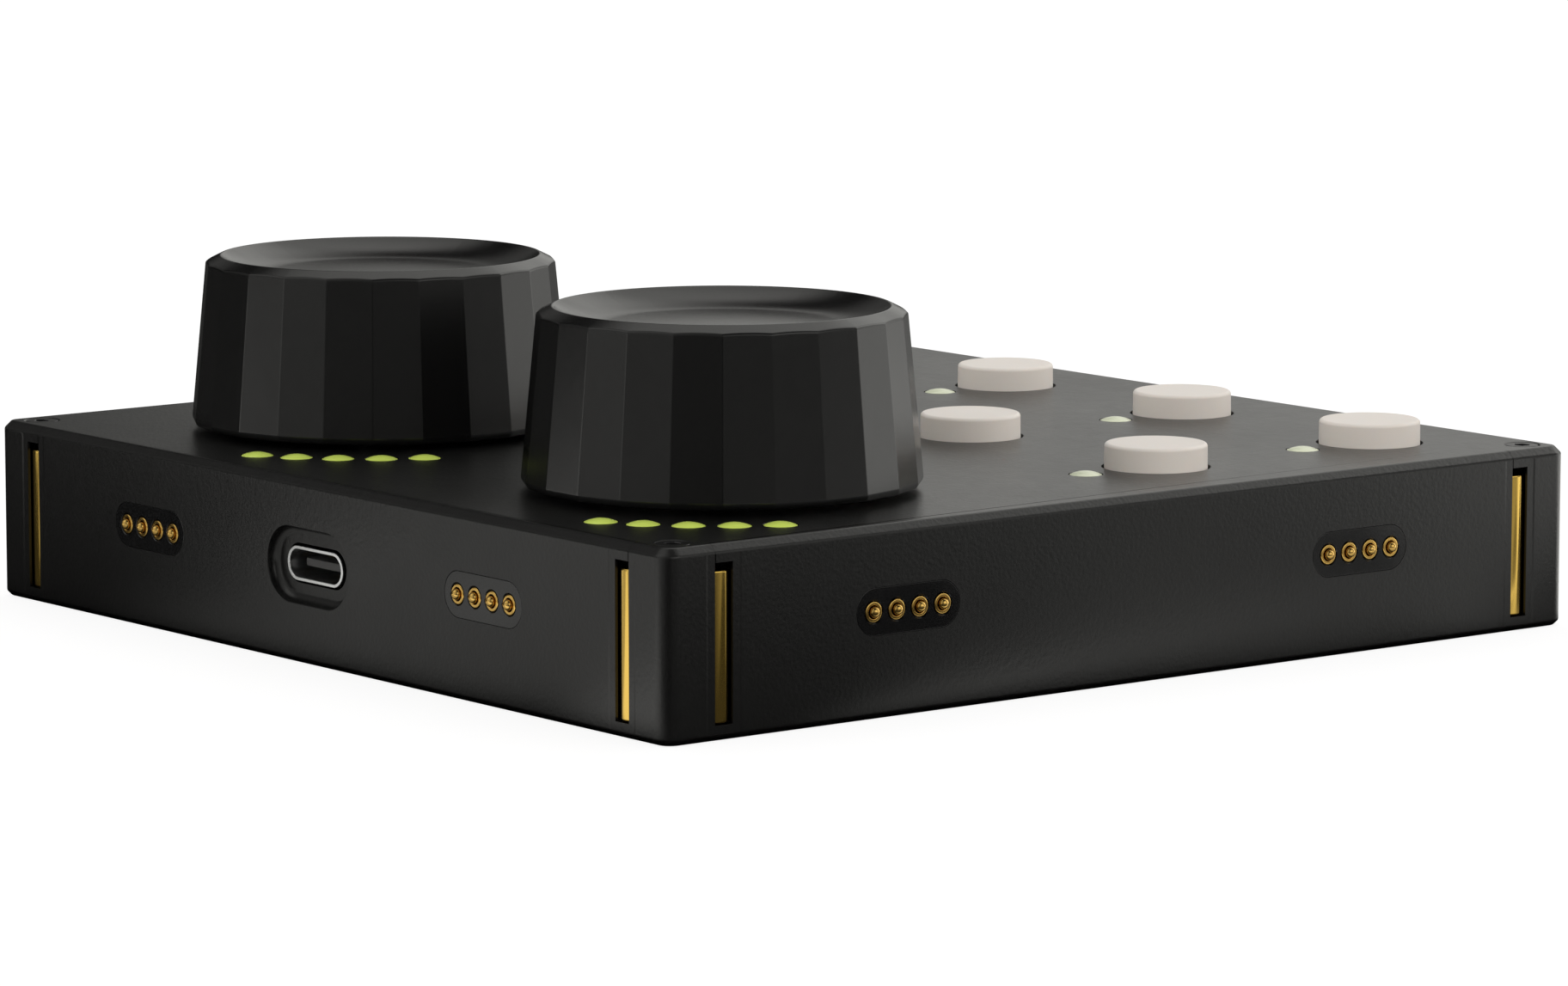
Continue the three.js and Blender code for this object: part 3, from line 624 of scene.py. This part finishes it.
def topHoles():
    lensHole = shell["lensHole"]
    holes = [mouthedHole(shell["buttonHole"], 96, x, y) for x, y in buttonSpots]
    holes += [mouthedHole(lensHole, 48, x, y + lensBesideButton) for x, y in buttonSpots]
    for spot in wheelSpots.values():
        holes.append(mouthedHole(shell["wheelHole"], 64, *spot))
        holes += [mouthedHole(lensHole, 48, x, y) for x, y in arcSpots(*spot)]
    sink = [(radius, topZ - depth) for radius, depth in shell["screwHole"]]
    profile = [(0, -1), (sink[0][0], -1)] + sink + [(sink[-1][0], topZ + 1), (0, topZ + 1)]
    return holes + [turned(profile, 48, x, y) for x, y in screwSpots]


def buildShell():
    piece = makeObject("shell", *shellSkin())
    inner, seat = half - housing["wall"], half - shell["coverRim"]
    cavity = makeObject("cavity", *slab(-inner, inner, -inner, inner, -1, ceilingZ))
    for lobe in cornerLobes(-2, topZ):
        carve(cavity, lobe)
    carveWith(piece, cavity)
    carve(piece, slab(-seat, seat, -seat, seat, -1, shell["coverThickness"] + shell["seatGap"]))
    for makeCut in (stripCut, slotCut, pocketCut):
        carve(piece, joined(*[turnedToSide(makeCut(sign), side) for _, side, sign in sidePlaces]))
    carve(piece, joined(*[insertCut(side, sign) for _, side, sign in sidePlaces]))
    carve(piece, joined(*[turnedToSide(seamCut(*edge), side)
                          for side in sideAngles for edge in seamEdges[side]]))
    carveSocket(piece)
    carve(piece, joined(*topHoles()))
    place(piece, 1.2, "shellBlack", "housing", "shell_black", "top_shell")


buildShell()
print("top shell built")


# ---- Jog wheels

wheel = {
    "sides": 24, "baseRadius": 18.3, "topRadius": 16.75, "baseZ": 17.7, "topZ": 33.95,
    "rimRadius": 15.35, "rimDrop": 0.7, "footReach": 0.45, "footHeight": 0.65, "footSteps": 14,
    "dishFlat": 10.3, "dishDepth": 1.7, "dishCurve": 1.75, "dishSteps": 14, "middleRadius": 5.0,
    "facetSoftness": 0.07, "rimSoftness": 0.26, "bevelSoftness": 0.24,
    # Radius and height along the hub and the hollow underneath, from the axis outwards.
    "under": [(0, 27.4), (3.06, 27.4), (3.06, 17.7), (5.5, 17.7), (5.5, 29.3), (14.6, 29.3),
              (14.6, 17.7)],
    # How far the two columns at a facet's edge are drawn to their neighbour, to round it.
    "edgePull": (0.55, 0.3),
}


def flatRadius(offset, z):
    share = (z - wheel["baseZ"]) / (wheel["topZ"] - wheel["baseZ"])
    corner = wheel["baseRadius"] + (wheel["topRadius"] - wheel["baseRadius"]) * share
    return corner * cos(pi / wheel["sides"]) / cos(radians(offset))


def wheelFoot(offset):
    reach, height, base = wheel["footReach"], wheel["footHeight"], wheel["baseZ"]
    lean = (wheel["baseRadius"] - wheel["topRadius"]) / (wheel["topZ"] - base)
    turn = pi / 2 + atan(lean * height / reach)
    top = base + height * (1 - cos(turn))
    centre = flatRadius(offset, top) - reach * sin(turn)
    angles = [turn * i / wheel["footSteps"] for i in range(wheel["footSteps"] + 1)]
    return [(centre + reach * sin(angle), base + height * (1 - cos(angle)))
            for angle in angles]


def wheelDish():
    dish = []
    for i in range(1, wheel["dishSteps"] + 1):
        share = i / wheel["dishSteps"]
        radius = wheel["rimRadius"] + (wheel["dishFlat"] - wheel["rimRadius"]) * share
        fall = wheel["dishDepth"] * (1 - (1 - share) ** wheel["dishCurve"])
        dish.append((radius, wheel["topZ"] - fall))
    return dish


# The line under the wheel, up its side and over the dish, at one angle from a flat's middle.
def wheelColumn(offset):
    foot, dish = wheelFoot(offset), wheelDish()
    footTop, topZ = foot[-1][1], wheel["topZ"]
    # The shoulder is where the leaning flat meets the rim's cone.
    slope = (wheel["topRadius"] - wheel["rimRadius"]) / wheel["rimDrop"]
    crest = flatRadius(offset, topZ)
    lean = (flatRadius(offset, wheel["baseZ"]) - crest) / (topZ - wheel["baseZ"])
    shoulderZ = topZ - (crest - wheel["rimRadius"]) / (slope - lean)
    heights = [footTop + (shoulderZ - footTop) * share for share in (0.5, 0.97)]
    side = [(flatRadius(offset, z), z) for z in heights + [shoulderZ]]
    side.append((wheel["rimRadius"], topZ))
    shoulder = softened(side[-3:], wheel["bevelSoftness"], 4)[1:-1]
    rim = softened([side[-2], side[-1], dish[0]], wheel["rimSoftness"], 6)[1:-1]
    middle = [(wheel["middleRadius"], dish[-1][1]), (0, dish[-1][1])]
    return wheel["under"] + foot + side[:2] + shoulder + rim + dish + middle


def buildWheel(hand, x, y):
    step = 360 / wheel["sides"]
    edge = degrees(wheel["facetSoftness"] / wheel["baseRadius"])
    first, last = -step / 2, step / 2
    offsets = [first, first + edge * 0.5, first + edge, -5, -2.5, 0, 2.5, 5,
               last - edge, last - edge * 0.5]
    columns = {offset: wheelColumn(offset) for offset in offsets}
    beside = columns[last - edge]
    outerPull, innerPull = wheel["edgePull"]
    for offset, pull in ((first, outerPull), (offsets[1], innerPull), (offsets[-1], innerPull)):
        columns[offset] = [(r + (c[0] - r) * pull, z + (c[1] - z) * pull)
                           for (r, z), c in zip(columns[offset], beside)]
    angles = [(radians(step * k + offset), offset)
              for k in range(wheel["sides"]) for offset in offsets]
    vertices, rings = [], []
    for row, (middleRadius, middleZ) in enumerate(columns[0]):
        if middleRadius < 1e-6:
            rings.append([len(vertices)])
            vertices.append((x, y, middleZ))
            continue
        rings.append(list(range(len(vertices), len(vertices) + len(angles))))
        for angle, offset in angles:
            radius, z = columns[offset][row]
            vertices.append((*polar(radius, angle, x, y), z))
    piece = makeObject(f"wheel_{hand}", vertices, ringFaces(rings))
    place(piece, 12, "wheelBlack", f"wheel_{hand}", "wheel_black", f"jog_wheel_{hand}")


for hand, (x, y) in wheelSpots.items():
    buildWheel(hand, x, y)
print("jog wheels built")


# ---- Push buttons

button = {
    "radius": 4.8, "proud": 2.25, "edge": 0.35, "taper": 0.015, "straight": 0.3,
    "flangeRadius": 5.6, "flangeTop": 15.05, "flangeBottom": 14.15, "stemRadius": 1.8,
    "stemBottom": 11.2, "segments": 112,
}


def buildButton(number, x, y):
    radius, edge, straight = button["radius"], button["edge"], button["straight"]
    stem, flange = button["stemRadius"], button["flangeRadius"]
    top, face = topZ + button["proud"], radius - button["taper"]
    profile = [(0, button["stemBottom"]), (stem, button["stemBottom"]),
               (stem, button["flangeBottom"]), (flange, button["flangeBottom"]),
               (flange, button["flangeTop"]), (radius + 0.02, button["flangeTop"]),
               (radius, topZ + straight), (face, top - edge - straight)]
    profile += [(face - edge * fall, top - edge * (1 - sine)) for sine, fall in quarterTurn(8)]
    profile += [(radius * 0.7, top), (radius * 0.3, top), (0, top)]
    piece = makeObject(f"cap_{number}", *turned(profile, button["segments"], x, y))
    place(piece, 12, "buttonWhite", f"button_{number}", "button_white", f"button_cap_{number}")


for index, (x, y) in enumerate(buttonSpots):
    buildButton(index + 1, x, y)
print("buttons built")


# ---- Lenses on their light guides

lens = {
    "radius": 1.5, "proud": 0.32, "sunk": 0.03, "barHalfWidth": 1.2, "barTop": 15.0,
    "barBottom": 13.5, "segments": 56,
}


def lensDome(x, y):
    radius, low, foot = lens["radius"], lens["barBottom"] - 0.001, topZ - lens["sunk"]
    profile = [(0, low), (radius, low), (radius, topZ - 0.12), (radius, foot)]
    for i in range(1, 11):
        share = 1 - i / 10
        profile.append((radius * share, foot + (lens["proud"] + lens["sunk"]) * (1 - share ** 2)))
    return turned(profile, lens["segments"], x, y)


def arcBar(x, y):
    spread = lensRing["step"] * (lensRing["count"] - 1) / 2
    ring = []
    for sign in (1, -1):
        radius = lensRing["radius"] + sign * lens["barHalfWidth"]
        for i in range(17):
            angle = radians(lensRing["centre"] + sign * (-spread + 2 * spread * i / 16))
            ring.append(polar(radius, angle, x, y))
    return lofted([(ring, lens["barBottom"]), (ring, lens["barTop"])])


def buildGuide(key, bar, spots, finish, slotName):
    piece = makeObject(f"lenses_{key}", *bar)
    for x, y in spots:
        carve(piece, lensDome(x, y), "UNION")
    place(piece, 1.2, finish, "housing", slotName, f"light_guide_{key}", smoothAngle=50)


for hand, spot in wheelSpots.items():
    buildGuide(hand, arcBar(*spot), arcSpots(*spot), "lensGreen", "arc_green")
# The row lenses take the pale finish, whose paler colour is a painted reflection of the white
# surroundings.
for key, row in (("rear_row", -0.5), ("front_row", -1.5)):
    y, wide = row * pitch + lensBesideButton, lens["barHalfWidth"]
    bar = slab(buttonColumns[0], buttonColumns[-1], y - wide, y + wide, lens["barBottom"],
               lens["barTop"])
    buildGuide(key, bar, [(x, y) for x in buttonColumns], "paleLensPaintedReflection", "row_green")
print("lenses built")


# ---- Corner screws and the cover underneath

screw = {
    "headRadius": 1.55, "headHeight": 0.95, "headEdge": 0.14, "sunk": 0.02, "flatEdge": 0.2,
    "shankRadius": 0.8, "tip": 0.3, "recessRadius": 0.75, "recessDepth": 0.7, "recessTurn": 12,
    "recessFlare": 1.12,
}


def buildScrew(number, x, y):
    head, shank, tip = screw["headRadius"], screw["shankRadius"], screw["tip"]
    flat, face = screw["flatEdge"], topZ - screw["sunk"]
    profile = softened([(shank - flat, tip), (shank, tip + flat),
                        (shank, topZ - screw["headHeight"]), (head, topZ - screw["headEdge"]),
                        (head - screw["sunk"], face), (head - flat, face)], 0.06, 2)
    piece = makeObject(f"screw_{number}", *turned([(0, tip)] + profile + [(0, face)], 64, x, y))

    def hexagon(radius):
        angles = [radians(60 * i + screw["recessTurn"]) for i in range(6)]
        return [polar(radius, angle, x, y) for angle in angles]
    points = hexagon(screw["recessRadius"])
    flared = hexagon(screw["recessRadius"] * screw["recessFlare"])
    carve(piece, lofted([(points, topZ - screw["recessDepth"]), (points, topZ - 0.1),
                         (flared, topZ - 0.01), (flared, topZ + 1)]))
    place(piece, 0.6, "screwBlack", "housing", "screw_black", f"cover_screw_{number}",
          smoothAngle=30)


for index, (x, y) in enumerate(screwSpots):
    buildScrew(index + 1, x, y)

cover = {
    "gap": 0.15, "thickness": 1.4, "edge": 0.2, "cornerRadius": 0.35,
    # Radius and height up a screw hole and up a board post.
    "hole": [(0, -1), (1.12, -1), (1.12, 0), (0.95, 0.17), (0.95, 3), (0, 3)],
    "post": [(0, 0.5), (2.4, 0.5), (2.4, 4.9), (0.9, 4.9), (0.9, 6.6), (0, 6.6)],
    "postSpots": [(-0.28, -0.25), (0.28, -0.25), (-0.28, 0), (0.28, 0), (0, -0.38), (0, 0.38)],
}


def buildCover():
    side = 2 * (half - shell["coverRim"] - cover["gap"])
    edge, radius = cover["edge"], cover["cornerRadius"]
    rings = []
    for inset, z in ((edge, 0.0), (edge * 0.3, edge * 0.3), (0.0, edge), (0.0, cover["thickness"])):
        rings.append((stadiumRing(side - 2 * inset, side - 2 * inset, radius, 6), z))
    piece = makeObject("cover", *lofted(rings))
    carve(piece, joined(*[turned(cover["hole"], 48, x, y) for x, y in screwSpots]))
    spots = [(x * housing["side"], y * housing["side"]) for x, y in cover["postSpots"]]
    carve(piece, joined(*[turned(cover["post"], 32, x, y) for x, y in spots]), "UNION")
    place(piece, 3, "coverBlack", "housing", "cover_black", "bottom_cover")


buildCover()
print("screws and cover built")


# ---- Side magnets

magnet = {"radius": 1.5, "bottom": 1.5, "length": 13.35, "edge": 0.2}


def buildMagnet(key, side, sign):
    low, high = magnet["bottom"], magnet["bottom"] + magnet["length"]
    profile = [(0, low), (magnet["radius"], low), (magnet["radius"], high), (0, high)]
    part = turned(softened(profile, magnet["edge"], 5), 72, magnetX(sign),
                  shell["magnetInset"] - half)
    piece = makeObject(f"rod_{key}", *turnedToSide(part, side))
    place(piece, 2.5, "magnetGold", f"rod_{key}", "gold", f"magnet_{key}")


for spot in sidePlaces:
    buildMagnet(*spot)
print("magnets built")


# ---- Spring-pin connectors

connector = {
    "nose": (11.6, 4.15), "noseGrow": 0.038, "noseLength": 4.75,
    # Blocks behind the face: half width, half height, near and far depth.
    "back": (6.8, 2.9, 2.75, 6.75), "room": (5.6, 1.6, 3.75, 8), "pinBar": (4.4, 1, 3.95, 4.75),
    "pinPitch": 2.6, "pinCount": 4, "pinRadius": 0.5, "pinProud": 0.55, "pinBack": 4.4,
    # Radius and depth along the bore round a pin, and over the gold ring in its mouth.
    "bore": [(0, -1), (1.08, -1), (1.08, 0), (1.03, 0.05), (1.03, 0.45), (0.66, 0.45), (0.66, 5),
             (0, 5)],
    "ring": [(0.93, 0.43), (0.93, -0.03), (0.63, -0.03), (0.6, 0.1), (0.57, 1.05)],
    "ringBack": [(0.91, 1.05), (0.93, 0.43)],
    "ringSoftness": 0.15,
}


def pinProfile():
    radius, proud = connector["pinRadius"], connector["pinProud"]
    dome = [(radius * sine, -proud + radius * 0.9 * fall) for sine, fall in quarterTurn(9)]
    return dome + [(radius, 0.3), (radius, connector["pinBack"]), (0, connector["pinBack"])]


def buildConnector(key, side, sign):
    x0, z0 = sign * pitch, shell["insertZ"]
    middle = (connector["pinCount"] - 1) / 2
    pinSpots = [x0 + (i - middle) * connector["pinPitch"] for i in range(connector["pinCount"])]

    def atPins(profile, segments):
        return joined(*[intoSide(turned(profile, segments), side, x, z0) for x in pinSpots])

    def block(name):
        return turnedToSide(sideBlock(x0, z0, *connector[name]), side)
    grow, length = connector["noseGrow"], connector["noseLength"]
    levels = [(0.0, grow - 0.05), (0.02, grow - 0.015), (0.06, grow), (length, grow)]
    nose = stadiumLoft(*connector["nose"], levels)
    piece = makeObject(f"block_{key}", *intoSide(nose, side, x0, z0))
    carve(piece, block("back"), "UNION")
    carve(piece, block("room"))
    carve(piece, atPins(connector["bore"], 48))
    place(piece, 1.5, "blockBlack", "housing", "block_black", f"connector_block_{key}")
    ring = softened(connector["ring"], connector["ringSoftness"], 6) + connector["ringBack"]
    barrels = makeObject(f"barrels_{key}", *atPins(ring, 56))
    place(barrels, 5, "contactGold", "housing", "gold")
    plungers = makeObject(f"plungers_{key}", *block("pinBar"))
    carve(plungers, atPins(pinProfile(), 40), "UNION")
    place(plungers, 1.5, "contactGold", f"pins_{key}", "gold", f"contact_pins_{key}")


for spot in sidePlaces:
    buildConnector(*spot)
print("connectors built")


# ---- USB socket

usb = {
    "wall": 0.35, "setBack": 0.9, "length": 7.35,
    # Legs into the board: depths, half width, half depth and foot height.
    "legDepths": (3.9, 6.95), "leg": (0.25, 0.55, 6.7), "baseGap": 0.1, "tongue": (6.69, 0.7),
    "tongueFront": 2.05, "tongueRoot": 0.9, "tongueTaper": 0.985, "tongueEdge": 0.08,
    "baseFront": 6.45, "contacts": 12, "contactPitch": 0.5, "contactHalfWidth": 0.13,
    "contactHeight": 0.03, "contactFront": 2.1,
}
socketX, socketZ = shell["usbX"], shell["usbZ"]
socketBack = usb["setBack"] + usb["length"]
socketInside = [size - 2 * usb["wall"] for size in shell["usbShell"]]


def rearStadium(length, height, levels, steps=24):
    return intoSide(stadiumLoft(length, height, levels, steps), "rear", socketX, socketZ)


def buildSocket():
    width, front = shell["usbShell"][0], usb["setBack"]
    levels = [(front, -0.06), (front + 0.015, -0.03), (front + 0.06, 0.0), (socketBack, 0.0)]
    piece = makeObject("socket", *rearStadium(*shell["usbShell"], levels))
    halfWidth, halfDepth, foot = usb["leg"]
    for sign in (-1, 1):
        x = socketX + sign * (width / 2 - halfWidth)
        for depth in usb["legDepths"]:
            leg = slab(x - halfWidth, x + halfWidth, depth - halfDepth - half,
                       depth + halfDepth - half, foot, socketZ)
            carve(piece, turnedToSide(leg, "rear"), "UNION")
    levels = [(front - 1, 0.07), (front, 0.07), (front + 0.02, 0.04), (front + 0.08, 0.0),
              (socketBack + 1, 0.0)]
    carve(piece, rearStadium(*socketInside, levels))
    place(piece, 1.5, "steel", "housing", "steel", "usb_shell")


def buildTongue():
    wide, thick = usb["tongue"]
    root = usb["baseFront"] + usb["tongueRoot"]
    base = [size - 2 * usb["baseGap"] for size in socketInside]
    levels = [(usb["baseFront"], 0.0), (socketBack, 0.0)]
    piece = makeObject("tongue", *rearStadium(*base, levels, 16))
    outline = stadiumRing(wide, root - usb["tongueFront"], 0.5, 6)
    middle = (usb["tongueFront"] + root) / 2 - half
    outer, inner = ([(px * scale + socketX, py * scale + middle) for px, py in outline]
                    for scale in (1, usb["tongueTaper"]))
    low, high, edge = socketZ - thick / 2, socketZ + thick / 2, usb["tongueEdge"]
    blade = lofted([(inner, low), (outer, low + edge), (outer, high - edge), (inner, high)])
    carve(piece, turnedToSide(blade, "rear"), "UNION")
    place(piece, 1.5, "tongueBlack", "housing", "tongue_black", "usb_tongue")
    pads = []
    halfWidth, height = usb["contactHalfWidth"], usb["contactHeight"]
    for level in (low - height / 2, high - height / 2):
        for i in range(usb["contacts"]):
            x = socketX + (i - (usb["contacts"] - 1) / 2) * usb["contactPitch"]
            pads.append(slab(x - halfWidth, x + halfWidth,
                             usb["tongueFront"] + usb["contactFront"] - half,
                             usb["baseFront"] - half, level, level + height))
    contacts = makeObject("tongue_contacts", *turnedToSide(joined(*pads), "rear"))
    place(contacts, 0.2, "contactGold", "housing", "gold")


buildSocket()
buildTongue()
print("usb socket built")


# ---- Inner pieces keep their CAD mesh and get a finish

innerFinishes = {"main_board": "boardGreen", "controller_chip": "partGrey"}
for hand in wheelSpots:
    innerFinishes[f"encoder_shaft_{hand}"] = "steel"
    innerFinishes[f"encoder_body_{hand}"] = "partGrey"
for number in range(1, len(buttonSpots) + 1):
    innerFinishes[f"button_switch_{number}"] = "switchBlack"
for name, finish in innerFinishes.items():
    paint(cadNodes[name], finish)


# ---- Floor, light and camera

studio = {
    "floorSize": 30000.0, "floorZ": -0.02, "floorColour": 0.2, "floorGlow": 0.86,
    "floorGloss": 0.038,
    # Level of the light for matt surfaces near the horizon and overhead, and where one turns
    # into the other.
    "fillLow": 1.8, "fillHigh": 0.4, "fillBend": (0.35, 0.65), "fillLean": 0.06,
    "fillAzimuth": 240.0, "fillWarmth": (1.0, 0.96, 0.92), "glossWarmth": (1.0, 0.993, 0.95),
    # A painted contact shadow: the floor is dark for shiny surfaces close to the object, in metres
    # from its middle.
    "footShade": (0.0535, 0.062),
}


def table(keys, rows):
    return {name: dict(zip(keys, row)) for name, row in rows.items()}


# Soft boxes in the distance, as shiny surfaces see them: angles in degrees, from the +X side.
softBoxes = table(("azimuth", "half", "edge", "low", "high", "fade", "strength"), {
    "right": (260.8, 12.0, 6.9, -9, 44.7, 0.021, 1.38),
    "rightLow": (248.0, 27.2, 2.2, -9, 10.9, 0.023, 0.48),
    "left": (79.0, 10.3, 5.0, -9, 9.0, 0.046, 0.95),
    "leftHaze": (86.5, 32.3, 31.4, 4.5, 85.0, 0.022, 0.47),
    "leftNear": (102.3, 8.2, 5.3, -9, 9.1, 0.079, 0.14),
    "behindCamera": (189.6, 30.0, 16.1, 8.0, 44.0, 0.15, 1.1),
    "far": (292.2, 31.7, 6.4, 3.1, 25.8, 0.02, 0.66),
    "farHigh": (289.0, 17.0, 22.0, 25.0, 43.5, 0.07, 1.35),
    "above": (301.0, 42.0, 40.0, 45.2, 85.0, 0.08, 1.1),
    "backLow": (0.0, 43.0, 22.3, 10.0, 26.0, 0.1, 0.12),
    "backHigh": (46.9, 23.0, 20.0, 33.1, 78.1, 0.16, 0.58),
})
# The floor shows shiny surfaces painted pools of the same light, which begin some way out, in
# metres.
floorPools = table(("azimuth", "half", "edge", "start", "strength"), {
    "front": (233.6, 55.1, 40.0, 0.044, 0.4),
    "right": (246.9, 18.0, 18.3, 0.034, 1.26),
    "rear": (91.4, 21.3, 20.0, 0.031, 0.45),
    "rearFar": (53.7, 7.3, 4.0, 0.219, 2.49),
    "corner": (155.9, 4.3, 3.6, 0.221, 0.48),
})
# Oval patches of painted light and painted shade on the floor, seen only by shiny surfaces, each
# with a level of its own: place and size in metres.
floorPatches = table(("x", "y", "turn", "length", "width", "level"), {
    "rearGlow": (0.024, 0.095, 37.7, 0.05, 0.02, 0.62),
    "cornerGlow": (-0.027, 0.105, 68.0, 0.12, 0.032, 1.15),
    "farGlow": (0.064, 0.128, 79.0, 0.09, 0.012, 0.8),
    "socketGlow": (0.049, 0.092, 37.7, 0.036, 0.011, 1.3),
    "magnetShade": (-0.095, 0.014, 40.0, 0.1, 0.04, 0.05),
    "frontShade": (-0.106, -0.014, 38.0, 0.06, 0.03, 0.05),
    "sideShade": (-0.106, -0.068, 38.0, 0.06, 0.026, 0.22),
    "rodShade": (-0.082, -0.1, 62.0, 0.11, 0.022, 0.1),
    "lineGlow": (-0.0675, -0.014, 77.0, 0.1, 0.006, 1.3),
})


def smoothBetween(value, low, high):
    inputs = {"Value": value, "From Min": low, "From Max": high}
    node = addNode("ShaderNodeMapRange", inputs, interpolation_type="SMOOTHSTEP")
    return node.outputs["Result"]


def distanceAcross(x, y):
    return mathNode("SQRT", plus(times(x, x), times(y, y)))


def alongAxis(x, y, turn):
    angle = radians(turn)
    return plus(times(x, cos(angle)), times(y, sin(angle)))


# One where a direction lies within a box's half width of its azimuth, easing to nothing over
# its edge.
def sectorMask(x, y, box):
    share = mathNode("DIVIDE", alongAxis(x, y, box["azimuth"]), distanceAcross(x, y))
    outer = cos(radians(min(box["half"] + box["edge"], 179)))
    inner = cos(radians(max(box["half"] - box["edge"], 0)))
    return smoothBetween(share, outer, inner)


# One inside a floor patch, easing to nothing round its edge.
def patchMask(x, y, patch):
    dx, dy = minus(x, patch["x"]), minus(y, patch["y"])
    along, across = (
        mathNode("DIVIDE", alongAxis(dx, dy, patch["turn"] + turn), patch[size] / 2)
        for turn, size in ((0, "length"), (90, "width")))
    return smoothBetween(distanceAcross(along, across), 1.25, 0.75)


# Which rays ask: glossy ones, diffuse ones, and those that the camera sees.
def rayKinds():
    path = addNode("ShaderNodeLightPath").outputs
    seen = mathNode("MAXIMUM", path["Is Camera Ray"], path["Is Transmission Ray"])
    return path["Is Glossy Ray"], path["Is Diffuse Ray"], seen


# What shiny surfaces see in the floor: painted pools of light, painted glows and shades, and a
# painted contact shadow near the object.
def glossOfFloor(x, y):
    distance = distanceAcross(x, y)
    pools = []
    for pool in floorPools.values():
        away = smoothBetween(distance, pool["start"] * 0.7, pool["start"] * 1.3)
        mask = times(sectorMask(x, y, pool), away)
        pools.append(times(mask, pool["strength"]))
    gloss = plus(*pools, studio["floorGloss"])
    # Painted glows and shades, each setting the floor's level inside its oval.
    for patch in floorPatches.values():
        change = minus(patch["level"], gloss)
        gloss = plus(gloss, times(patchMask(x, y, patch), change))
    # Painted contact shadow: the floor fades to dark for shiny surfaces near the object's
    # footprint.
    sides = [mathNode("ABSOLUTE", value) for value in (x, y)]
    farther = mathNode("MAXIMUM", *sides)
    return times(gloss, smoothBetween(farther, *studio["footShade"]))


def buildFloor():
    size, z = studio["floorSize"] / 2, studio["floorZ"]
    corners = [(-size, -size, z), (size, -size, z), (size, size, z), (-size, size, z)]
    floor = makeObject("floor", corners, [(0, 1, 2, 3)])
    material = bpy.data.materials.new("paleFloor")
    openTreeOf(material)
    material.cycles.emission_sampling = "NONE"
    spot = addNode("ShaderNodeTexCoord").outputs["Object"]
    x, y, z = addNode("ShaderNodeSeparateXYZ", {0: spot}).outputs
    glossy, _, seen = rayKinds()
    seen = times(seen, studio["floorGlow"])
    glow = addNode("ShaderNodeEmission", {
        "Color": mixColours(glossy, (1.0, 1.0, 1.0), studio["glossWarmth"]),
        "Strength": plus(seen, times(glossy, glossOfFloor(x, y)))})
    matt = times(minus(1.0, glossy), studio["floorColour"])
    diffuse = addNode("ShaderNodeBsdfDiffuse", {"Color": matt})
    both = addNode("ShaderNodeAddShader", {0: diffuse.outputs[0], 1: glow.outputs[0]})
    addNode("ShaderNodeOutputMaterial", {"Surface": both.outputs[0]})
    floor.data.materials.append(material)


# The camera sees a white room and shiny surfaces the soft boxes. Matt ones are lit by a ring
# near the horizon, stronger on one side, and a weaker ceiling.
def buildWorld():
    world = bpy.data.worlds.new("studio")
    bpy.context.scene.world = world
    openTreeOf(world)
    world.cycles.sampling_method = "NONE"
    toward = addNode("ShaderNodeTexCoord").outputs["Generated"]
    x, y, z = addNode("ShaderNodeSeparateXYZ", {0: toward}).outputs
    lit = []
    for box in softBoxes.values():
        bottom, top = (sin(radians(box[end])) for end in ("low", "high"))
        rise = smoothBetween(z, bottom - box["fade"], bottom + box["fade"])
        fall = smoothBetween(z, top + box["fade"], top - box["fade"])
        mask = times(sectorMask(x, y, box), rise)
        lit.append(times(mask, times(fall, box["strength"])))
    glossy, matt, seen = rayKinds()
    lean = times(alongAxis(x, y, studio["fillAzimuth"]), studio["fillLean"])
    ceiling = smoothBetween(z, *studio["fillBend"])
    drop = times(ceiling, studio["fillHigh"] - studio["fillLow"])
    fill = times(plus(1.0, lean), plus(studio["fillLow"], drop))
    low = times(matt, minus(1.0, ceiling))
    colour = mixColours(low, (1.0, 1.0, 1.0), studio["fillWarmth"])
    boxes = times(glossy, plus(*lit))
    background = addNode("ShaderNodeBackground", {
        "Color": mixColours(glossy, colour, studio["glossWarmth"]),
        "Strength": plus(boxes, seen, times(matt, fill))})
    addNode("ShaderNodeOutputWorld", {"Surface": background.outputs[0]})


lamp = {"spot": (0.1, -0.25, 0.9), "aim": (0, 0, 0.01), "size": 0.9, "power": 2.5}


# The lamp overhead gives matt surfaces some of their light and casts the soft shadow.
def buildLamp():
    light = bpy.data.lights.new("overhead", "AREA")
    light.size = lamp["size"]
    light.energy = lamp["power"]
    holder = linked("overhead", light)
    holder.location = lamp["spot"]
    aim = Vector(lamp["aim"]) - Vector(lamp["spot"])
    holder.rotation_euler = aim.to_track_quat("-Z", "Y").to_euler()
    holder.visible_camera = False
    holder.visible_glossy = False


# Solved from the photo's edges: place in metres, turn in radians, lens in millimetres.
view = {
    "spot": (-0.524998, 0.411410, 0.107492), "turn": (1.4275573, -0.0004147, -2.2370324),
    "lens": 161.10, "sensor": 36, "clip": (0.01, 50),
}


def buildCamera():
    camera = bpy.data.cameras.new("camera")
    camera.sensor_width = view["sensor"]
    camera.sensor_fit = "HORIZONTAL"
    camera.lens = view["lens"]
    camera.clip_start, camera.clip_end = view["clip"]
    holder = linked("camera", camera)
    holder.location = view["spot"]
    holder.rotation_euler = view["turn"]
    bpy.context.scene.camera = holder


buildFloor()
buildWorld()
buildLamp()
buildCamera()
bpy.context.scene.view_settings.view_transform = "Standard"
print("studio built")

bpy.context.view_layer.update()
